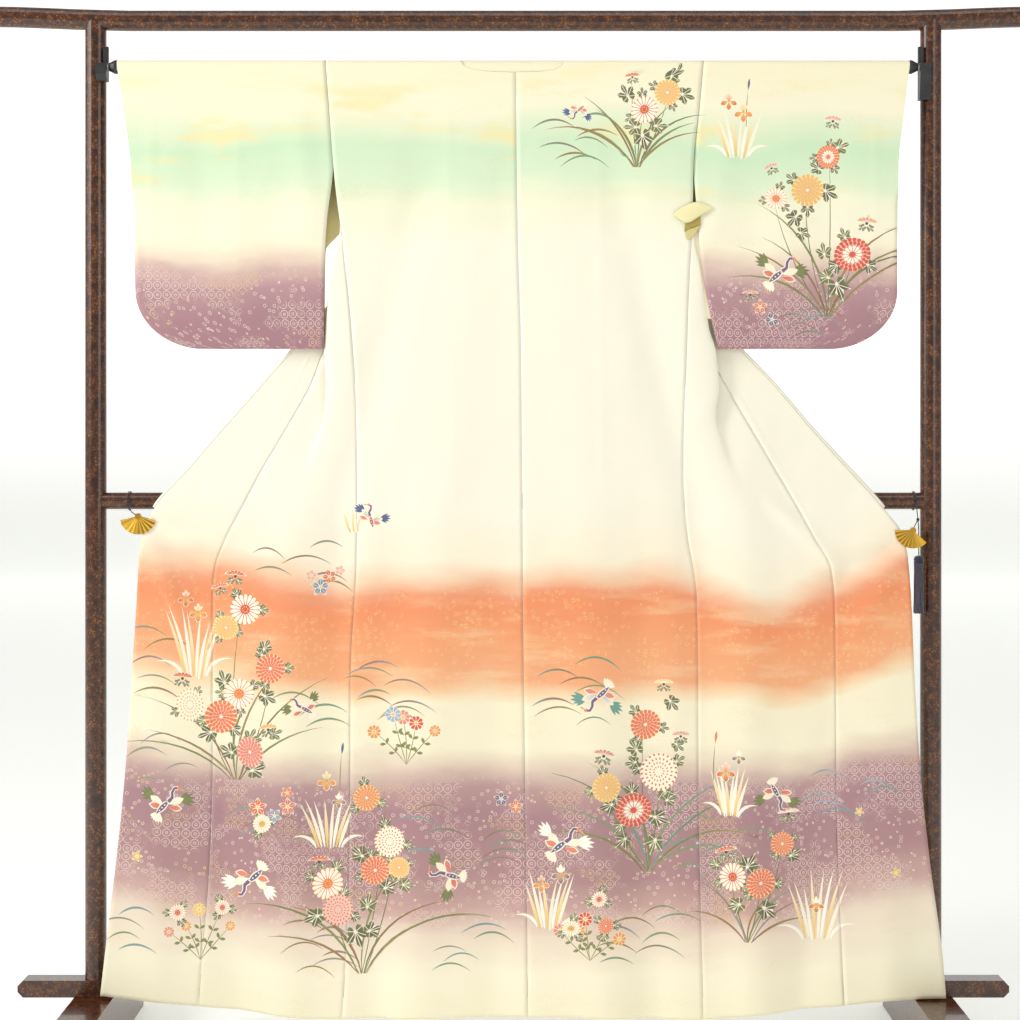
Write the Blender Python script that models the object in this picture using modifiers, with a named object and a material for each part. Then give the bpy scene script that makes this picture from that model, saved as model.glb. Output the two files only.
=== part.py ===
# Homongi kimono hung on a free-standing kimono stand, seen from the garment's back.
# Sizes are millimetres, turned to metres by MM. +Z is up, the garment's back faces
# -Y, and the origin is on the floor under the middle of the stand.
import math

import bmesh
import bpy
import numpy as np

MM = 0.001
SEAM_GAP = 0.3
SMOOTH_ANGLE = math.radians(40)

# Driving sizes of the stand
POST_R = 17.5
POST_X = 695.0
BAR_TOP = 117.0
BAR_TALL = 28.0
BAR_DEEP = 34.0
BAR_HALF = 821.0
BAR_CHAMFER = 9.0
TOP_RAIL_R = 17.0
TOP_RAIL_Z = 1710.0
TOP_RAIL_SWEEP = 7.0
TOP_RAIL_STATIONS = (-880, -830, -780, -728, -640, 640, 728, 780, 830, 880)
MID_RAIL_R = 14.0
MID_RAIL_Z = 911.0
FOOT_WIDE = 65.0
FOOT_HALF = 230.0
FOOT_TALL = BAR_TOP - BAR_TALL - SEAM_GAP

# Driving sizes of the rod that the sleeves hang on, and of its brackets
ROD_R = 8.5
ROD_Y = -20.0
ROD_Z = 1629.0
ROD_HALF = 655.0
PIN_R = 4.0
PIN_END = 684.0
KNOB_R = 11.5
KNOB_END = 668.5
BRACKET_NEAR = 671.0
BRACKET_FAR = 689.0

# Driving sizes of the cloth
WALL = 1.6
COLLAR_WALL = 2.0
CLOTH_R = ROD_R + 0.9 + COLLAR_WALL / 2
ARC = CLOTH_R * math.pi / 2
NECK_Z = 1618.0
POINT_Z = 1321.0
SEWN_Z = 1464.0
UNDERARM_Z = 1345.0
HEM_Z = 60.0
HEM_EASE_Z = 700.0
COLLAR_END_Z = 900.0
SLEEVE_BOTTOM = 1163.0
SLEEVE_CORNER_TALL = 95.0
SLEEVE_CORNER_WIDE = 112.0
SLEEVE_EDGE_ROUND = 7.0
CUFF_CLOSED_Z = 1395.0
CUFF_OPEN_Z = 1432.0

# The garment's outline on each side. Side is the side edge or side seam, seam the
# okumi seam and edge the front edge, all as distances from the stand's middle; fold
# and tuck are how far the hidden cloth between side and seam swings out and in.
ROW_NAMES = ("height", "side", "seam", "edge", "fold", "tuck")
LEFT_ROWS = (
    (1639, 310, 85, 85, 0, 0),
    (1560, 304, 121, 121, 0, 4),
    (1464, 297, 166, 166, 2, 12),
    (1400, 290, 195, 195, 10, 30),
    (1345, 282, 221, 221, 17, 45),
    (1321, 280, 232, 232, 23, 53),
    (1310, 279, 237, 241, 27, 57),
    (1252, 272, 268, 290, 34, 65),
    (1194, 267, 298, 338, 33, 66),
    (1160, 264.5, 315, 366, 31, 66),
    (1106, 261, 335, 413, 22, 55),
    (1027, 258.6, 378, 482, 10, 23),
    (962, 258, 416, 538, 7, 17),
    (900, 257.5, 448, 592.7, 4, 10),
    (850, 258, 474, 614, 2, 5),
    (797, 259, 493, 618.5, 0, 0),
    (748, 262, 495.8, 620.8, 0, 0),
    (615, 268.5, 495.9, 629, 0, 0),
    (455, 269, 496, 639.5, 0, 0),
    (300, 270, 500.5, 654, 0, 0),
    (114, 279, 515, 675, 0, 0),
    (60, 283, 519, 681, 0, 0),
)
RIGHT_ROWS = (
    (1639, 313.7, 85, 85, 0, 0),
    (1560, 306.5, 121, 121, 0, 4),
    (1464, 297, 164, 164, 2, 12),
    (1400, 296, 191, 191, 12, 30),
    (1345, 294, 216, 216, 19, 45),
    (1321, 292.7, 227, 227, 23, 52),
    (1310, 292, 233, 236.5, 26, 58),
    (1252, 289, 267, 291, 30, 65),
    (1194, 287, 300, 346, 32, 66),
    (1160, 286, 319, 378, 38, 62),
    (1106, 284, 350, 430, 36, 50),
    (1027, 281.5, 396, 497, 11, 22),
    (962, 280.6, 434, 556, 8, 17),
    (900, 283, 470, 611, 4, 10),
    (850, 288, 497, 645, 2, 5),
    (797, 298, 525, 652.5, 0, 0),
    (748, 303.5, 530, 656, 0, 0),
    (615, 305, 532, 661.5, 0, 0),
    (455, 305.5, 533, 671, 0, 0),
    (300, 308, 536, 686, 0, 0),
    (114, 312, 543, 709, 0, 0),
    (60, 313, 546, 713, 0, 0),
)
# Height, depth of the okumi seam, and how far the side edge lies off the back panel
FRONT_DEPTHS = (
    (1629, ROD_Y + CLOTH_R, 2 * CLOTH_R),
    (1464, -9.0, 17.6),
    (1400, -8.5, 10.5),
    (1345, -8.0, 0.0),
    (1252, -8.5, 0.0),
    (1160, -11.0, 0.0),
    (1106, -13.5, 0.0),
    (1027, -18.0, 0.0),
    (962, -22.0, 0.0),
    (883, -26.0, 0.0),
    (797, -28.5, 0.0),
    (600, -30.5, 0.0),
    (60, -31.0, 0.0),
)
# Height and depths of the front's two loose pleats between the rod and the underarm:
# one stands away from the back panel and the other, beside the seam, towards it
PLEAT_DEPTHS = (
    (1629, 0.0, 0.0),
    (1560, 8.0, 4.0),
    (1464, 16.0, 7.5),
    (1400, 11.0, 7.0),
    (1345, 3.0, 4.0),
    (1290, 0.0, 0.0),
    (60, 0.0, 0.0),
)
# Height and distance of the centre back seam to the right of the stand's middle
CENTRE_LINE = (
    (1618, 4.4),
    (1346, 7.7),
    (1178, 12.7),
    (996, 14.3),
    (615, 17.6),
    (256, 22.6),
    (60, 24.0),
)
# The neck's cut: distance along the cloth from the rod's top, and from the middle
NECK_CUT = (
    (-ARC - ROD_Z + NECK_Z, 0.0),
    (-ARC - 9.8, 40.0),
    (-ARC - 6.3, 66.0),
    (-ARC, 80.0),
    (-ARC / 2, 83.5),
    (0.0, 85.0),
    (ARC / 2, 87.0),
)
# Distance across and height of the hem
HEM_LINE = (
    (-690, 97),
    (-612, 89),
    (-490, 76),
    (-287, 58),
    (-100, 60),
    (100, 61),
    (292, 56),
    (383, 64),
    (527, 78),
    (640, 90.5),
    (720, 92),
)
# Soft hanging folds: where each runs at three heights, its half width, and its depth
# at the same heights (positive is away from the viewer)
FOLD_HEIGHTS = (60.0, 900.0, 1440.0)
SOFT_FOLDS = (
    ((-300, -282, -150), 34, (1.0, 6.0, 3.5)),
    ((330, 300, 168), 34, (1.5, 6.5, 3.5)),
    ((-165, -120, -60), 46, (-6.5, -3.0, -1.5)),
    ((150, 120, 60), 46, (-7.0, -3.0, -1.5)),
    ((-30, -20, -20), 40, (6.5, 1.0, 1.0)),
    ((-232, -200, -250), 38, (7.5, 2.0, 0.0)),
    ((232, 215, 240), 38, (7.0, 2.0, 0.0)),
    ((-372, -370, -390), 40, (-7.0, -4.0, 0.0)),
    ((398, 385, 390), 40, (-7.5, -4.5, 0.0)),
    ((-455, -520, -520), 36, (6.0, 1.5, 0.0)),
    ((478, 555, 560), 36, (7.0, 1.5, 0.0)),
    ((-590, -585, -620), 38, (-5.5, 0.0, 0.0)),
    ((622, 610, 640), 38, (-6.0, 0.0, 0.0)),
)
# The sleeves: height, edge beside the body and outer edge
LEFT_SLEEVE = (
    (1639, 310, 654.8),
    (1560, 304, 643.0),
    (1464, 297, 630.5),
    (1373, 307.0, 627.4),
    (1300, 311.0, 625.0),
    (1163, 312.5, 622.0),
)
RIGHT_SLEEVE = (
    (1639, 313.7, 654.4),
    (1560, 306.5, 645.0),
    (1464, 297, 635.0),
    (1400, 301.0, 634.5),
    (1300, 310.0, 634.0),
    (1240, 320.0, 634.0),
    (1163, 337.5, 633.0),
)
# Height, middle depth and half the hollow's depth of a sleeve
SLEEVE_DEPTHS = (
    (1629, ROD_Y, CLOTH_R),
    (1464, -21.4, 8.8),
    (1300, -22.3, 6.4),
    (1163, -22.7, 5.0),
)

# The fan clips: pivot across and up, middle direction from straight down, spread
FAN_R = 30.0
FAN_HUB_R = 5.0
FAN_PLEATS = 10
FAN_WALL = 1.2
FAN_PLEAT_DEPTH = 0.7
LEFT_FAN = (-619.0, 886.5, 0.0, 154.0)
RIGHT_FAN = (659.0, 863.5, -21.5, 137.0)

# The cords and the tassel on the right clip's cord
CORD_R = 0.8
CORD_LOOP_R = 15.5
CORD_PITCH = 2.4
CORD_STEPS = 14
TASSEL_X = 669.0
TASSEL_Y = -27.1
TASSEL_CAP_Z = 822.0
TASSEL_HEAD_Z = 812.0
TASSEL_END_Z = 726.0
TASSEL_R = 9.0
STRAND_R = 1.1
STRAND_RINGS = ((2.0, 4), (4.6, 9), (7.2, 14))

COLOURS = {
    "lacquer": ((0.05, 0.025, 0.012), 0.25, 0.0),
    "silver": ((0.7, 0.7, 0.7), 0.25, 1.0),
    "black": ((0.02, 0.02, 0.02), 0.4, 0.0),
    "silk": ((0.95, 0.91, 0.72), 0.55, 0.0),
    "gold": ((0.85, 0.6, 0.15), 0.3, 1.0),
    "cord": ((0.03, 0.03, 0.06), 0.8, 0.0),
    "tassel": ((0.12, 0.09, 0.13), 0.8, 0.0),
}


def start_scene():
    for old in list(bpy.data.objects):
        bpy.data.objects.remove(old, do_unlink=True)
    parts = bpy.data.collections.new("homongi_kimono_on_stand")
    cutters = bpy.data.collections.new("cutters")
    bpy.context.scene.collection.children.link(parts)
    bpy.context.scene.collection.children.link(cutters)
    return parts, cutters


PARTS, CUTTERS = start_scene()


def finish_of(name, finish):
    colour, roughness, metallic = COLOURS[finish]
    material = bpy.data.materials.new(name + "_finish")
    material.use_nodes = True
    shader = material.node_tree.nodes["Principled BSDF"]
    shader.inputs["Base Color"].default_value = (*colour, 1.0)
    shader.inputs["Roughness"].default_value = roughness
    shader.inputs["Metallic"].default_value = metallic
    return material


def place(obj, collection):
    for old in list(obj.users_collection):
        old.objects.unlink(obj)
    collection.objects.link(obj)
    return obj


def sub_part(obj, name, finish, round_shape=True):
    obj.name = name
    obj.data.name = name
    obj.data.materials.clear()
    obj.data.materials.append(finish_of(name, finish))
    if round_shape:
        obj.data.shade_smooth()
        obj.data.set_sharp_from_angle(angle=SMOOTH_ANGLE)
    return place(obj, PARTS)


def cutter(obj, name):
    obj.name = name
    obj.hide_render = True
    obj.display_type = "WIRE"
    return place(obj, CUTTERS)


def boolean(obj, tool, operation="DIFFERENCE"):
    step = obj.modifiers.new(operation.lower(), "BOOLEAN")
    step.operation = operation
    step.solver = "EXACT"
    step.object = tool


def cylinder(radius, start, end, axis, sides=28):
    """A straight round bar from start to end along the axis named by its letter."""
    middle = (np.array(start) + np.array(end)) / 2 * MM
    length = float(np.linalg.norm(np.array(end) - np.array(start))) * MM
    turn = {"X": (0, math.pi / 2, 0), "Y": (math.pi / 2, 0, 0), "Z": (0, 0, 0)}[axis]
    bpy.ops.mesh.primitive_cylinder_add(
        vertices=sides,
        radius=radius * MM,
        depth=length,
        location=tuple(middle),
        rotation=turn,
    )
    return bpy.context.object


def mesh_of(curve_object):
    """A curve object as one closed mesh in the same place."""
    CUTTERS.objects.link(curve_object)
    bpy.context.view_layer.update()
    graph = bpy.context.evaluated_depsgraph_get()
    mesh = bpy.data.meshes.new_from_object(curve_object.evaluated_get(graph))
    solid = bpy.data.objects.new("solid", mesh)
    solid.matrix_world = curve_object.matrix_world.copy()
    bpy.data.objects.remove(curve_object, do_unlink=True)
    work = bmesh.new()
    work.from_mesh(mesh)
    bmesh.ops.remove_doubles(work, verts=work.verts, dist=0.00001)
    bmesh.ops.recalc_face_normals(work, faces=work.faces)
    work.to_mesh(mesh)
    work.free()
    return solid


def flat_outline(points, thickness, location, rotation):
    """A closed flat outline, filled and given a thickness."""
    curve = bpy.data.curves.new("outline", "CURVE")
    curve.dimensions = "2D"
    curve.fill_mode = "BOTH"
    curve.extrude = thickness * MM / 2
    spline = curve.splines.new("POLY")
    spline.points.add(len(points) - 1)
    for point, (a, b) in zip(spline.points, points):
        point.co = (a * MM, b * MM, 0, 1)
    spline.use_cyclic_u = True
    obj = bpy.data.objects.new("outline", curve)
    obj.location = tuple(np.array(location) * MM)
    obj.rotation_euler = rotation
    return mesh_of(obj)


def tube(points, radius, resolution=2):
    """A round bar along a chain of points."""
    curve = bpy.data.curves.new("tube", "CURVE")
    curve.dimensions = "3D"
    curve.bevel_depth = radius * MM
    curve.bevel_resolution = resolution
    curve.use_fill_caps = True
    spline = curve.splines.new("POLY")
    spline.points.add(len(points) - 1)
    for point, at in zip(spline.points, points):
        point.co = (*(np.array(at, float) * MM), 1)
    return mesh_of(bpy.data.objects.new("tube", curve))


def turned(profile, location, rotation, closed=False, steps=24):
    """A profile of radius and height, from top to bottom, turned about its axis."""
    mesh = bpy.data.meshes.new("turned")
    corners = [(radius * MM, 0, height * MM) for radius, height in profile]
    edges = [(i, i + 1) for i in range(len(corners) - 1)]
    if closed:
        edges.append((len(corners) - 1, 0))
    mesh.from_pydata(corners, edges, [])
    obj = bpy.data.objects.new("turned", mesh)
    obj.location = tuple(np.array(location) * MM)
    obj.rotation_euler = rotation
    PARTS.objects.link(obj)
    screw = obj.modifiers.new("turn", "SCREW")
    screw.steps = steps
    screw.render_steps = steps
    screw.use_merge_vertices = True
    screw.merge_threshold = 0.00001
    screw.use_smooth_shade = True
    return obj


def grid_faces(index):
    corners = (index[:-1, :-1], index[:-1, 1:], index[1:, 1:], index[1:, :-1])
    return np.stack(corners, axis=-1).reshape(-1, 4)


def thicken(name, points, faces, thickness, finish):
    """A middle surface of points and faces, with its wall given by a solidify."""
    mesh = bpy.data.meshes.new(name)
    mesh.from_pydata((points * MM).tolist(), [], faces.tolist())
    obj = bpy.data.objects.new(name, mesh)
    solid = obj.modifiers.new("thickness", "SOLIDIFY")
    solid.thickness = thickness * MM
    solid.offset = 0.0
    return sub_part(obj, name, finish)


def cloth(name, rows, thickness=WALL, finish="silk"):
    """Cloth whose middle surface is one grid: rows of equal numbers of points."""
    points = np.array(rows)
    index = np.arange(points.shape[0] * points.shape[1]).reshape(points.shape[:2])
    return thicken(name, points.reshape(-1, 3), grid_faces(index), thickness, finish)


def between(rows, column, at):
    """A smooth curve through a table's rows that never swings past a row's value:
    cubic pieces, each row's slope the harmonic mean of the slopes beside it."""
    table = np.array(sorted((row[0], row[column]) for row in rows), float)
    x, y = table[:, 0], table[:, 1]
    step = np.diff(x)
    rise = np.diff(y) / step
    pair = rise[:-1] * rise[1:]
    mean = np.where(pair > 0, 2 * pair / np.where(pair > 0, rise[:-1] + rise[1:], 1), 0)
    slope = np.concatenate([rise[:1], mean, rise[-1:]])
    at = np.clip(np.asarray(at, float), x[0], x[-1])
    i = np.clip(np.searchsorted(x, at, side="right") - 1, 0, len(x) - 2)
    t = (at - x[i]) / step[i]
    return (
        (1 + 2 * t) * (1 - t) ** 2 * y[i]
        + t * (1 - t) ** 2 * step[i] * slope[i]
        + t * t * (3 - 2 * t) * y[i + 1]
        + t * t * (t - 1) * step[i] * slope[i + 1]
    )


def ease(low, high, at):
    """0 at low, 1 at high and a soft S between."""
    t = np.clip((np.asarray(at, float) - low) / (high - low), 0, 1)
    return t * t * (3 - 2 * t)


def outline(side, name, height):
    """Distance of one line of the outline from the stand's middle."""
    rows = LEFT_ROWS if side < 0 else RIGHT_ROWS
    if name == "edge" and height >= POINT_Z:
        name = "seam"
    return float(between(rows, ROW_NAMES.index(name), height))


def soft_folds(x, height):
    """Depth of the hanging folds: bell-shaped troughs and ridges down the cloth."""
    depth = np.zeros(np.broadcast(x, height).shape)
    for across, half_width, deep in SOFT_FOLDS:
        centre = np.interp(height, FOLD_HEIGHTS, across)
        most = np.interp(height, FOLD_HEIGHTS, deep)
        depth = depth + most * np.exp(-(((x - centre) / half_width) ** 2))
    return depth * ease(1600.0, 1400.0, height)


def back_plane(height):
    """Depth of the back before its folds: it hangs straight down from the rod."""
    return ROD_Y - CLOTH_R - 1.0 * ease(ROD_Z, 1000.0, height)


def front_depth(x, height):
    """Depth of the cloth at the okumi seam and beyond it."""
    free = ease(1160.0, 900.0, height)
    return between(FRONT_DEPTHS, 1, height) + free * soft_folds(x, height)


def to_hem(x, height):
    """Heights near the hem follow the hem's own curve."""
    lift = between(HEM_LINE, 1, x) - HEM_Z
    return height + lift * ease(HEM_EASE_Z, HEM_Z, height)


def over_rod(x, along, off=0.0):
    """A place on cloth that lies over the rod. Along is its distance from the rod's
    top, positive on the far side; off is how far it lies off the cloth."""
    along = np.asarray(along, float)
    angle = np.clip(along / CLOTH_R, -math.pi / 2, math.pi / 2)
    drop = np.maximum(np.abs(along) - ARC, 0)
    y = ROD_Y + (CLOTH_R + off) * np.sin(angle)
    z = ROD_Z + (CLOTH_R + off) * np.cos(angle) - drop
    return np.stack(np.broadcast_arrays(x, y, z), axis=-1).astype(float)


def height_at(along):
    """Height of the cloth at a distance from the rod's top."""
    if abs(along) < ARC:
        return ROD_Z + CLOTH_R * math.cos(along / CLOTH_R)
    return ROD_Z - (abs(along) - ARC)


def neck_edge(side, along):
    """Across place of the neck's cut edge, or of the okumi seam below the rod."""
    if along >= ARC:
        return side * outline(side, "seam", height_at(along))
    distance = float(np.interp(along, *zip(*NECK_CUT)))
    lean = CENTRE_LINE[0][1] * (1 - distance / 85.0)
    return side * distance + lean


# The body panels: back, shoulder and front in one length of cloth

COLUMNS = np.linspace(0, 1, 16)
BACK_HEIGHTS = (
    *(60, 140, 230, 340, 450, 560, 650, 725, 815, 900),
    *(980, 1070, 1160, 1245, 1345, 1430, 1464, 1512, 1560, 1600),
)
SHOULDER_ROWS = (*[row[0] for row in NECK_CUT], ARC)
FRONT_HEIGHTS = (
    *(1586, 1560, 1512, 1464, 1430, 1400, 1372, 1345, 1321, 1316, 1285, 1245, 1200),
    *(1160, 1115, 1070, 1048, 1027, 980, 940, 900, 876, 852, 815, 725, 650, 560, 450),
    *(340, 230, 140, 60),
)


def back_row(side, height):
    """From the side seam to the centre back seam."""
    outer = side * (outline(side, "side", height) - SEAM_GAP / 2)
    inner = float(between(CENTRE_LINE, 1, height)) + side * SEAM_GAP / 2
    x = outer + (inner - outer) * COLUMNS
    y = back_plane(height) + soft_folds(x, height)
    return np.stack([x, y, to_hem(x, height)], axis=-1)


def shoulder_row(side, along):
    """Over the rod, from the sleeve seam to the neck's cut edge."""
    outer = side * (outline(side, "side", height_at(along)) - SEAM_GAP / 2)
    inner = neck_edge(side, along)
    if along <= NECK_CUT[0][0]:
        inner = inner + side * SEAM_GAP / 2
    return over_rod(outer + (inner - outer) * COLUMNS, along)


def side_edge(side, height):
    """Place of the front's side edge. It follows the straight pieces between the
    back's rows, so that the side seam stays even."""
    levels = [*BACK_HEIGHTS, ROD_Z]
    x = [side * (outline(side, "side", h) + SEAM_GAP / 2) for h in levels]
    y = [float(back_plane(h) + soft_folds(a, h)) for h, a in zip(levels, x)]
    return np.interp(height, levels, x), np.interp(height, levels, y)


def front_row(side, height):
    """From the side edge to the okumi seam. The cloth between them is wider than
    the way across, so it swings out past the side seam (fold), in behind it (tuck)
    and out again: across moves by one turn of a sine, and most of the depth is
    gained where the swing turns, or in its middle where the swing is slight."""
    t = COLUMNS
    start, side_depth = side_edge(side, height)
    sewn = SEAM_GAP / 2 if height < POINT_Z else 0.0
    end = side * (outline(side, "seam", height) - sewn)
    fold, tuck = outline(side, "fold", height), outline(side, "tuck", height)
    swing = (fold + (tuck - fold) * ease(0.2, 0.8, t)) * np.sin(2 * math.pi * t)
    x = start + (end - start) * t + side * swing
    folded = 2 * math.pi * fold / max(abs(end - start), 1.0)
    underarm = float(ease(1240.0, 1290.0, height))
    at_turns = 0.85 * float(np.clip(folded - 0.8, 0, 1)) * (1 - underarm)
    at_middle = 0.8 * float(ease(1110.0, 1065.0, height)) + 0.9 * underarm
    gained = t - at_turns * np.sin(4 * math.pi * t) / (4 * math.pi)
    gained = gained - at_middle * np.sin(2 * math.pi * t) / (2 * math.pi)
    own = soft_folds(x, height) - soft_folds(start, height)
    first = side_depth + float(between(FRONT_DEPTHS, 2, height))
    first = first + own * float(ease(1345.0, 1000.0, height))
    away, towards = [float(between(PLEAT_DEPTHS, column, height)) for column in (1, 2)]
    pleat = (away + (towards - away) * ease(0.3, 0.7, t)) * np.sin(2 * math.pi * t)
    pleat = pleat * (1 - (1 - t) ** 4)
    y = first + (front_depth(x, height) - first) * gained + pleat
    return np.stack([x, y, to_hem(x, height)], axis=-1)


def body_panel(side, name):
    rows = [back_row(side, height) for height in BACK_HEIGHTS]
    rows += [shoulder_row(side, along) for along in SHOULDER_ROWS]
    rows += [front_row(side, height) for height in FRONT_HEIGHTS]
    return cloth(name, rows)


# The okumi panels: tapered, from their point to the hem

OKUMI_COLUMNS = np.linspace(0, 1, 6)


def okumi_row(side, height):
    inner = side * (outline(side, "seam", height) + SEAM_GAP / 2)
    outer = side * outline(side, "edge", height)
    x = inner + (outer - inner) * OKUMI_COLUMNS
    return np.stack([x, front_depth(x, height), to_hem(x, height)], axis=-1)


def okumi_panel(side, name):
    return cloth(name, [okumi_row(side, h) for h in FRONT_HEIGHTS if h < POINT_Z])


# The collar: one strip along both front edges and round the neck

# Length and direction (as a part of the collar's turn) of each piece of the hook
COLLAR_HOOK = ((1.2, 1.0), (2.4, 5 / 6), (2.4, 0.5), (2.4, 1 / 6))
COLLAR_STRAIGHT = (0.25, 0.5, 0.75, 1.0)
COLLAR_WIDE_END = 105.0
COLLAR_WIDE_TOP = 91.0
COLLAR_STEADY_Z = 930.0
COLLAR_SPLIT_Z = 1586.0
TWIST_GAP = 1.5


def along_at(height):
    return ARC + ROD_Z - height


def collar_seam(side, along):
    """The seam line on the cloth laid flat: place across, and along from the rod."""
    if along > ARC:
        return np.array([side * outline(side, "edge", height_at(along)), along])
    return np.array([neck_edge(side, along), along])


def seam_inward(side, along):
    """Direction on the flat cloth square to the seam line, away from its panel."""
    run = collar_seam(side, along + 3.0) - collar_seam(side, along - 3.0)
    run = run / np.linalg.norm(run)
    return np.array([-side * run[1], side * run[0]])


def on_collar(point, off):
    """From the flat strip to the hanging one; off is the depth behind its panel."""
    x, along = point
    if along <= ARC:
        return over_rod(x, along, off)
    height = height_at(along)
    return np.array([x, front_depth(x, height) + off, to_hem(x, height)])


def neck_row(side, along):
    """Round the neck the strip spans from the seam to the centre back, level."""
    seam = collar_seam(side, along) + SEAM_GAP * seam_inward(side, along)
    level = along + SEAM_GAP
    if along < -ARC - 8.0:
        level = NECK_CUT[0][0] + SEAM_GAP
    middle = np.array([CENTRE_LINE[0][1], level if along < ARC else seam[1]])
    row = []
    reach = [sum(length for length, _ in COLLAR_HOOK[:i]) for i in range(5)]
    wide = float(np.linalg.norm(middle - seam))
    reach += [reach[-1] + (wide - reach[-1]) * part for part in COLLAR_STRAIGHT]
    for run in reach:
        row.append(on_collar(seam + (middle - seam) * run / wide, 0.0))
    return np.array(row)


def hook_turn(side, height):
    """Angle between the way a panel runs into its seam and the strip's own way."""
    if height < POINT_Z:
        return math.pi
    last = front_row(side, height)[-1] - front_row(side, height)[-2]
    return abs(math.atan2(last[1], -side * last[0]))


def front_collar_row(side, height):
    """From the seam, round the panel's edge in short pieces, then straight across
    to the free edge."""
    along = along_at(height)
    inward = seam_inward(side, min(along, along_at(COLLAR_STEADY_Z)))
    ends = (COLLAR_END_Z, COLLAR_SPLIT_Z)
    wide = np.interp(height, ends, (COLLAR_WIDE_END, COLLAR_WIDE_TOP))
    turn = hook_turn(side, height)
    seam = collar_seam(side, along)
    gap = SEAM_GAP + TWIST_GAP * math.sin(turn)
    across, off = gap * math.cos(turn), gap * math.sin(turn)
    row = [on_collar(seam + inward * across, off)]
    for length, part in COLLAR_HOOK:
        across += length * math.cos(turn * part)
        off += length * math.sin(turn * part)
        row.append(on_collar(seam + inward * across, off))
    for part in COLLAR_STRAIGHT:
        run = across + (wide - across) * part
        row.append(on_collar(seam + inward * run, off))
    return np.array(row)


def collar(name):
    """Two halves from the centre back to their ends. Down to where they part, they
    share the points of the centre line."""
    neck = [along for along in SHOULDER_ROWS if along > NECK_CUT[0][0]]
    neck.append(along_at(COLLAR_SPLIT_Z))
    lower = [h for h in FRONT_HEIGHTS if COLLAR_END_Z <= h < COLLAR_SPLIT_Z]
    halves = []
    for side in (-1, 1):
        rows = [neck_row(side, along) for along in neck]
        rows += [front_collar_row(side, height) for height in lower]
        halves.append(np.array(rows)[:, ::-side])
    left, right = halves
    count, columns = left.shape[:2]
    index = np.arange(2 * count * columns).reshape(2, count, columns)
    index[1, : len(neck), 0] = index[0, : len(neck), -1]
    faces = np.concatenate([grid_faces(index[0]), grid_faces(index[1])])
    used, faces = np.unique(faces, return_inverse=True)
    points = np.array(halves).reshape(-1, 3)[used]
    return thicken(name, points, faces.reshape(-1, 4), COLLAR_WALL, "silk")


# The sleeves: one length of cloth folded over the rod and sewn round its outer edge

SLEEVE_COLUMNS = (0.0, 0.2, 0.42, 0.64, 0.84, 1.0)
SLEEVE_EDGE_STEPS = (9.0, 3.0, 0.8, 0.0)
SLEEVE_ROD_ROWS = np.linspace(-ARC, ARC, 5)
SLEEVE_HEIGHTS = (
    *(1163, 1163.8, 1166, 1172, 1186, 1206, 1230, 1258, 1300, 1350, 1395, 1410),
    *(1430, 1464, 1512, 1560),
)


def sleeve_across(side, height):
    """Across places of one row, from beside the body to the outer edge."""
    rows = LEFT_SLEEVE if side < 0 else RIGHT_SLEEVE
    inner = float(between(rows, 1, height))
    if height >= SEWN_Z:
        inner = outline(side, "side", height)
    inner += SEAM_GAP * 1.5
    outer = float(between(rows, 2, height))
    into = (SLEEVE_BOTTOM + SLEEVE_CORNER_TALL - height) / SLEEVE_CORNER_TALL
    if into > 0:
        outer -= SLEEVE_CORNER_WIDE * (1 - math.sqrt(1 - min(into, 1.0) ** 2))
    last = outer - SLEEVE_EDGE_STEPS[0]
    wide = [inner + (last - inner) * column for column in SLEEVE_COLUMNS]
    return np.array(wide + [outer - step for step in SLEEVE_EDGE_STEPS[1:]])


def sleeve_row(side, height, face):
    """One row of the back (face -1) or front (face +1) layer. The layers close on
    each other with a round edge wherever the sleeve is sewn."""
    x = sleeve_across(side, height)
    middle = float(between(SLEEVE_DEPTHS, 1, height))
    half = float(between(SLEEVE_DEPTHS, 2, height))
    from_edge = np.minimum(x[-1] - x, height - SLEEVE_BOTTOM)
    near = np.clip(from_edge / SLEEVE_EDGE_ROUND, 0, 1)
    sewn = np.sqrt(1 - (1 - near) ** 2)
    cuff = float(ease(CUFF_CLOSED_Z, CUFF_OPEN_Z, height))
    y = middle + face * half * (sewn * (1 - cuff) + cuff)
    return np.stack([side * x, y, np.full_like(x, height)], axis=-1)


def sleeve(side, name):
    """Both layers in one mesh; their sewn edges share the same points."""
    rows = [sleeve_row(side, height, -1) for height in SLEEVE_HEIGHTS]
    for along in SLEEVE_ROD_ROWS:
        rows.append(over_rod(side * sleeve_across(side, height_at(along)), along))
    rows += [sleeve_row(side, height, 1) for height in reversed(SLEEVE_HEIGHTS)]
    points = np.array(rows)
    count, columns = points.shape[:2]
    index = np.arange(count * columns).reshape(count, columns)
    index[-1] = index[0]
    for row, height in enumerate(SLEEVE_HEIGHTS):
        if height <= CUFF_CLOSED_Z:
            index[count - 1 - row, -1] = index[row, -1]
    used, faces = np.unique(grid_faces(index), return_inverse=True)
    return thicken(name, points.reshape(-1, 3)[used], faces.reshape(-1, 4), WALL, "silk")


# The stand


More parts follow.
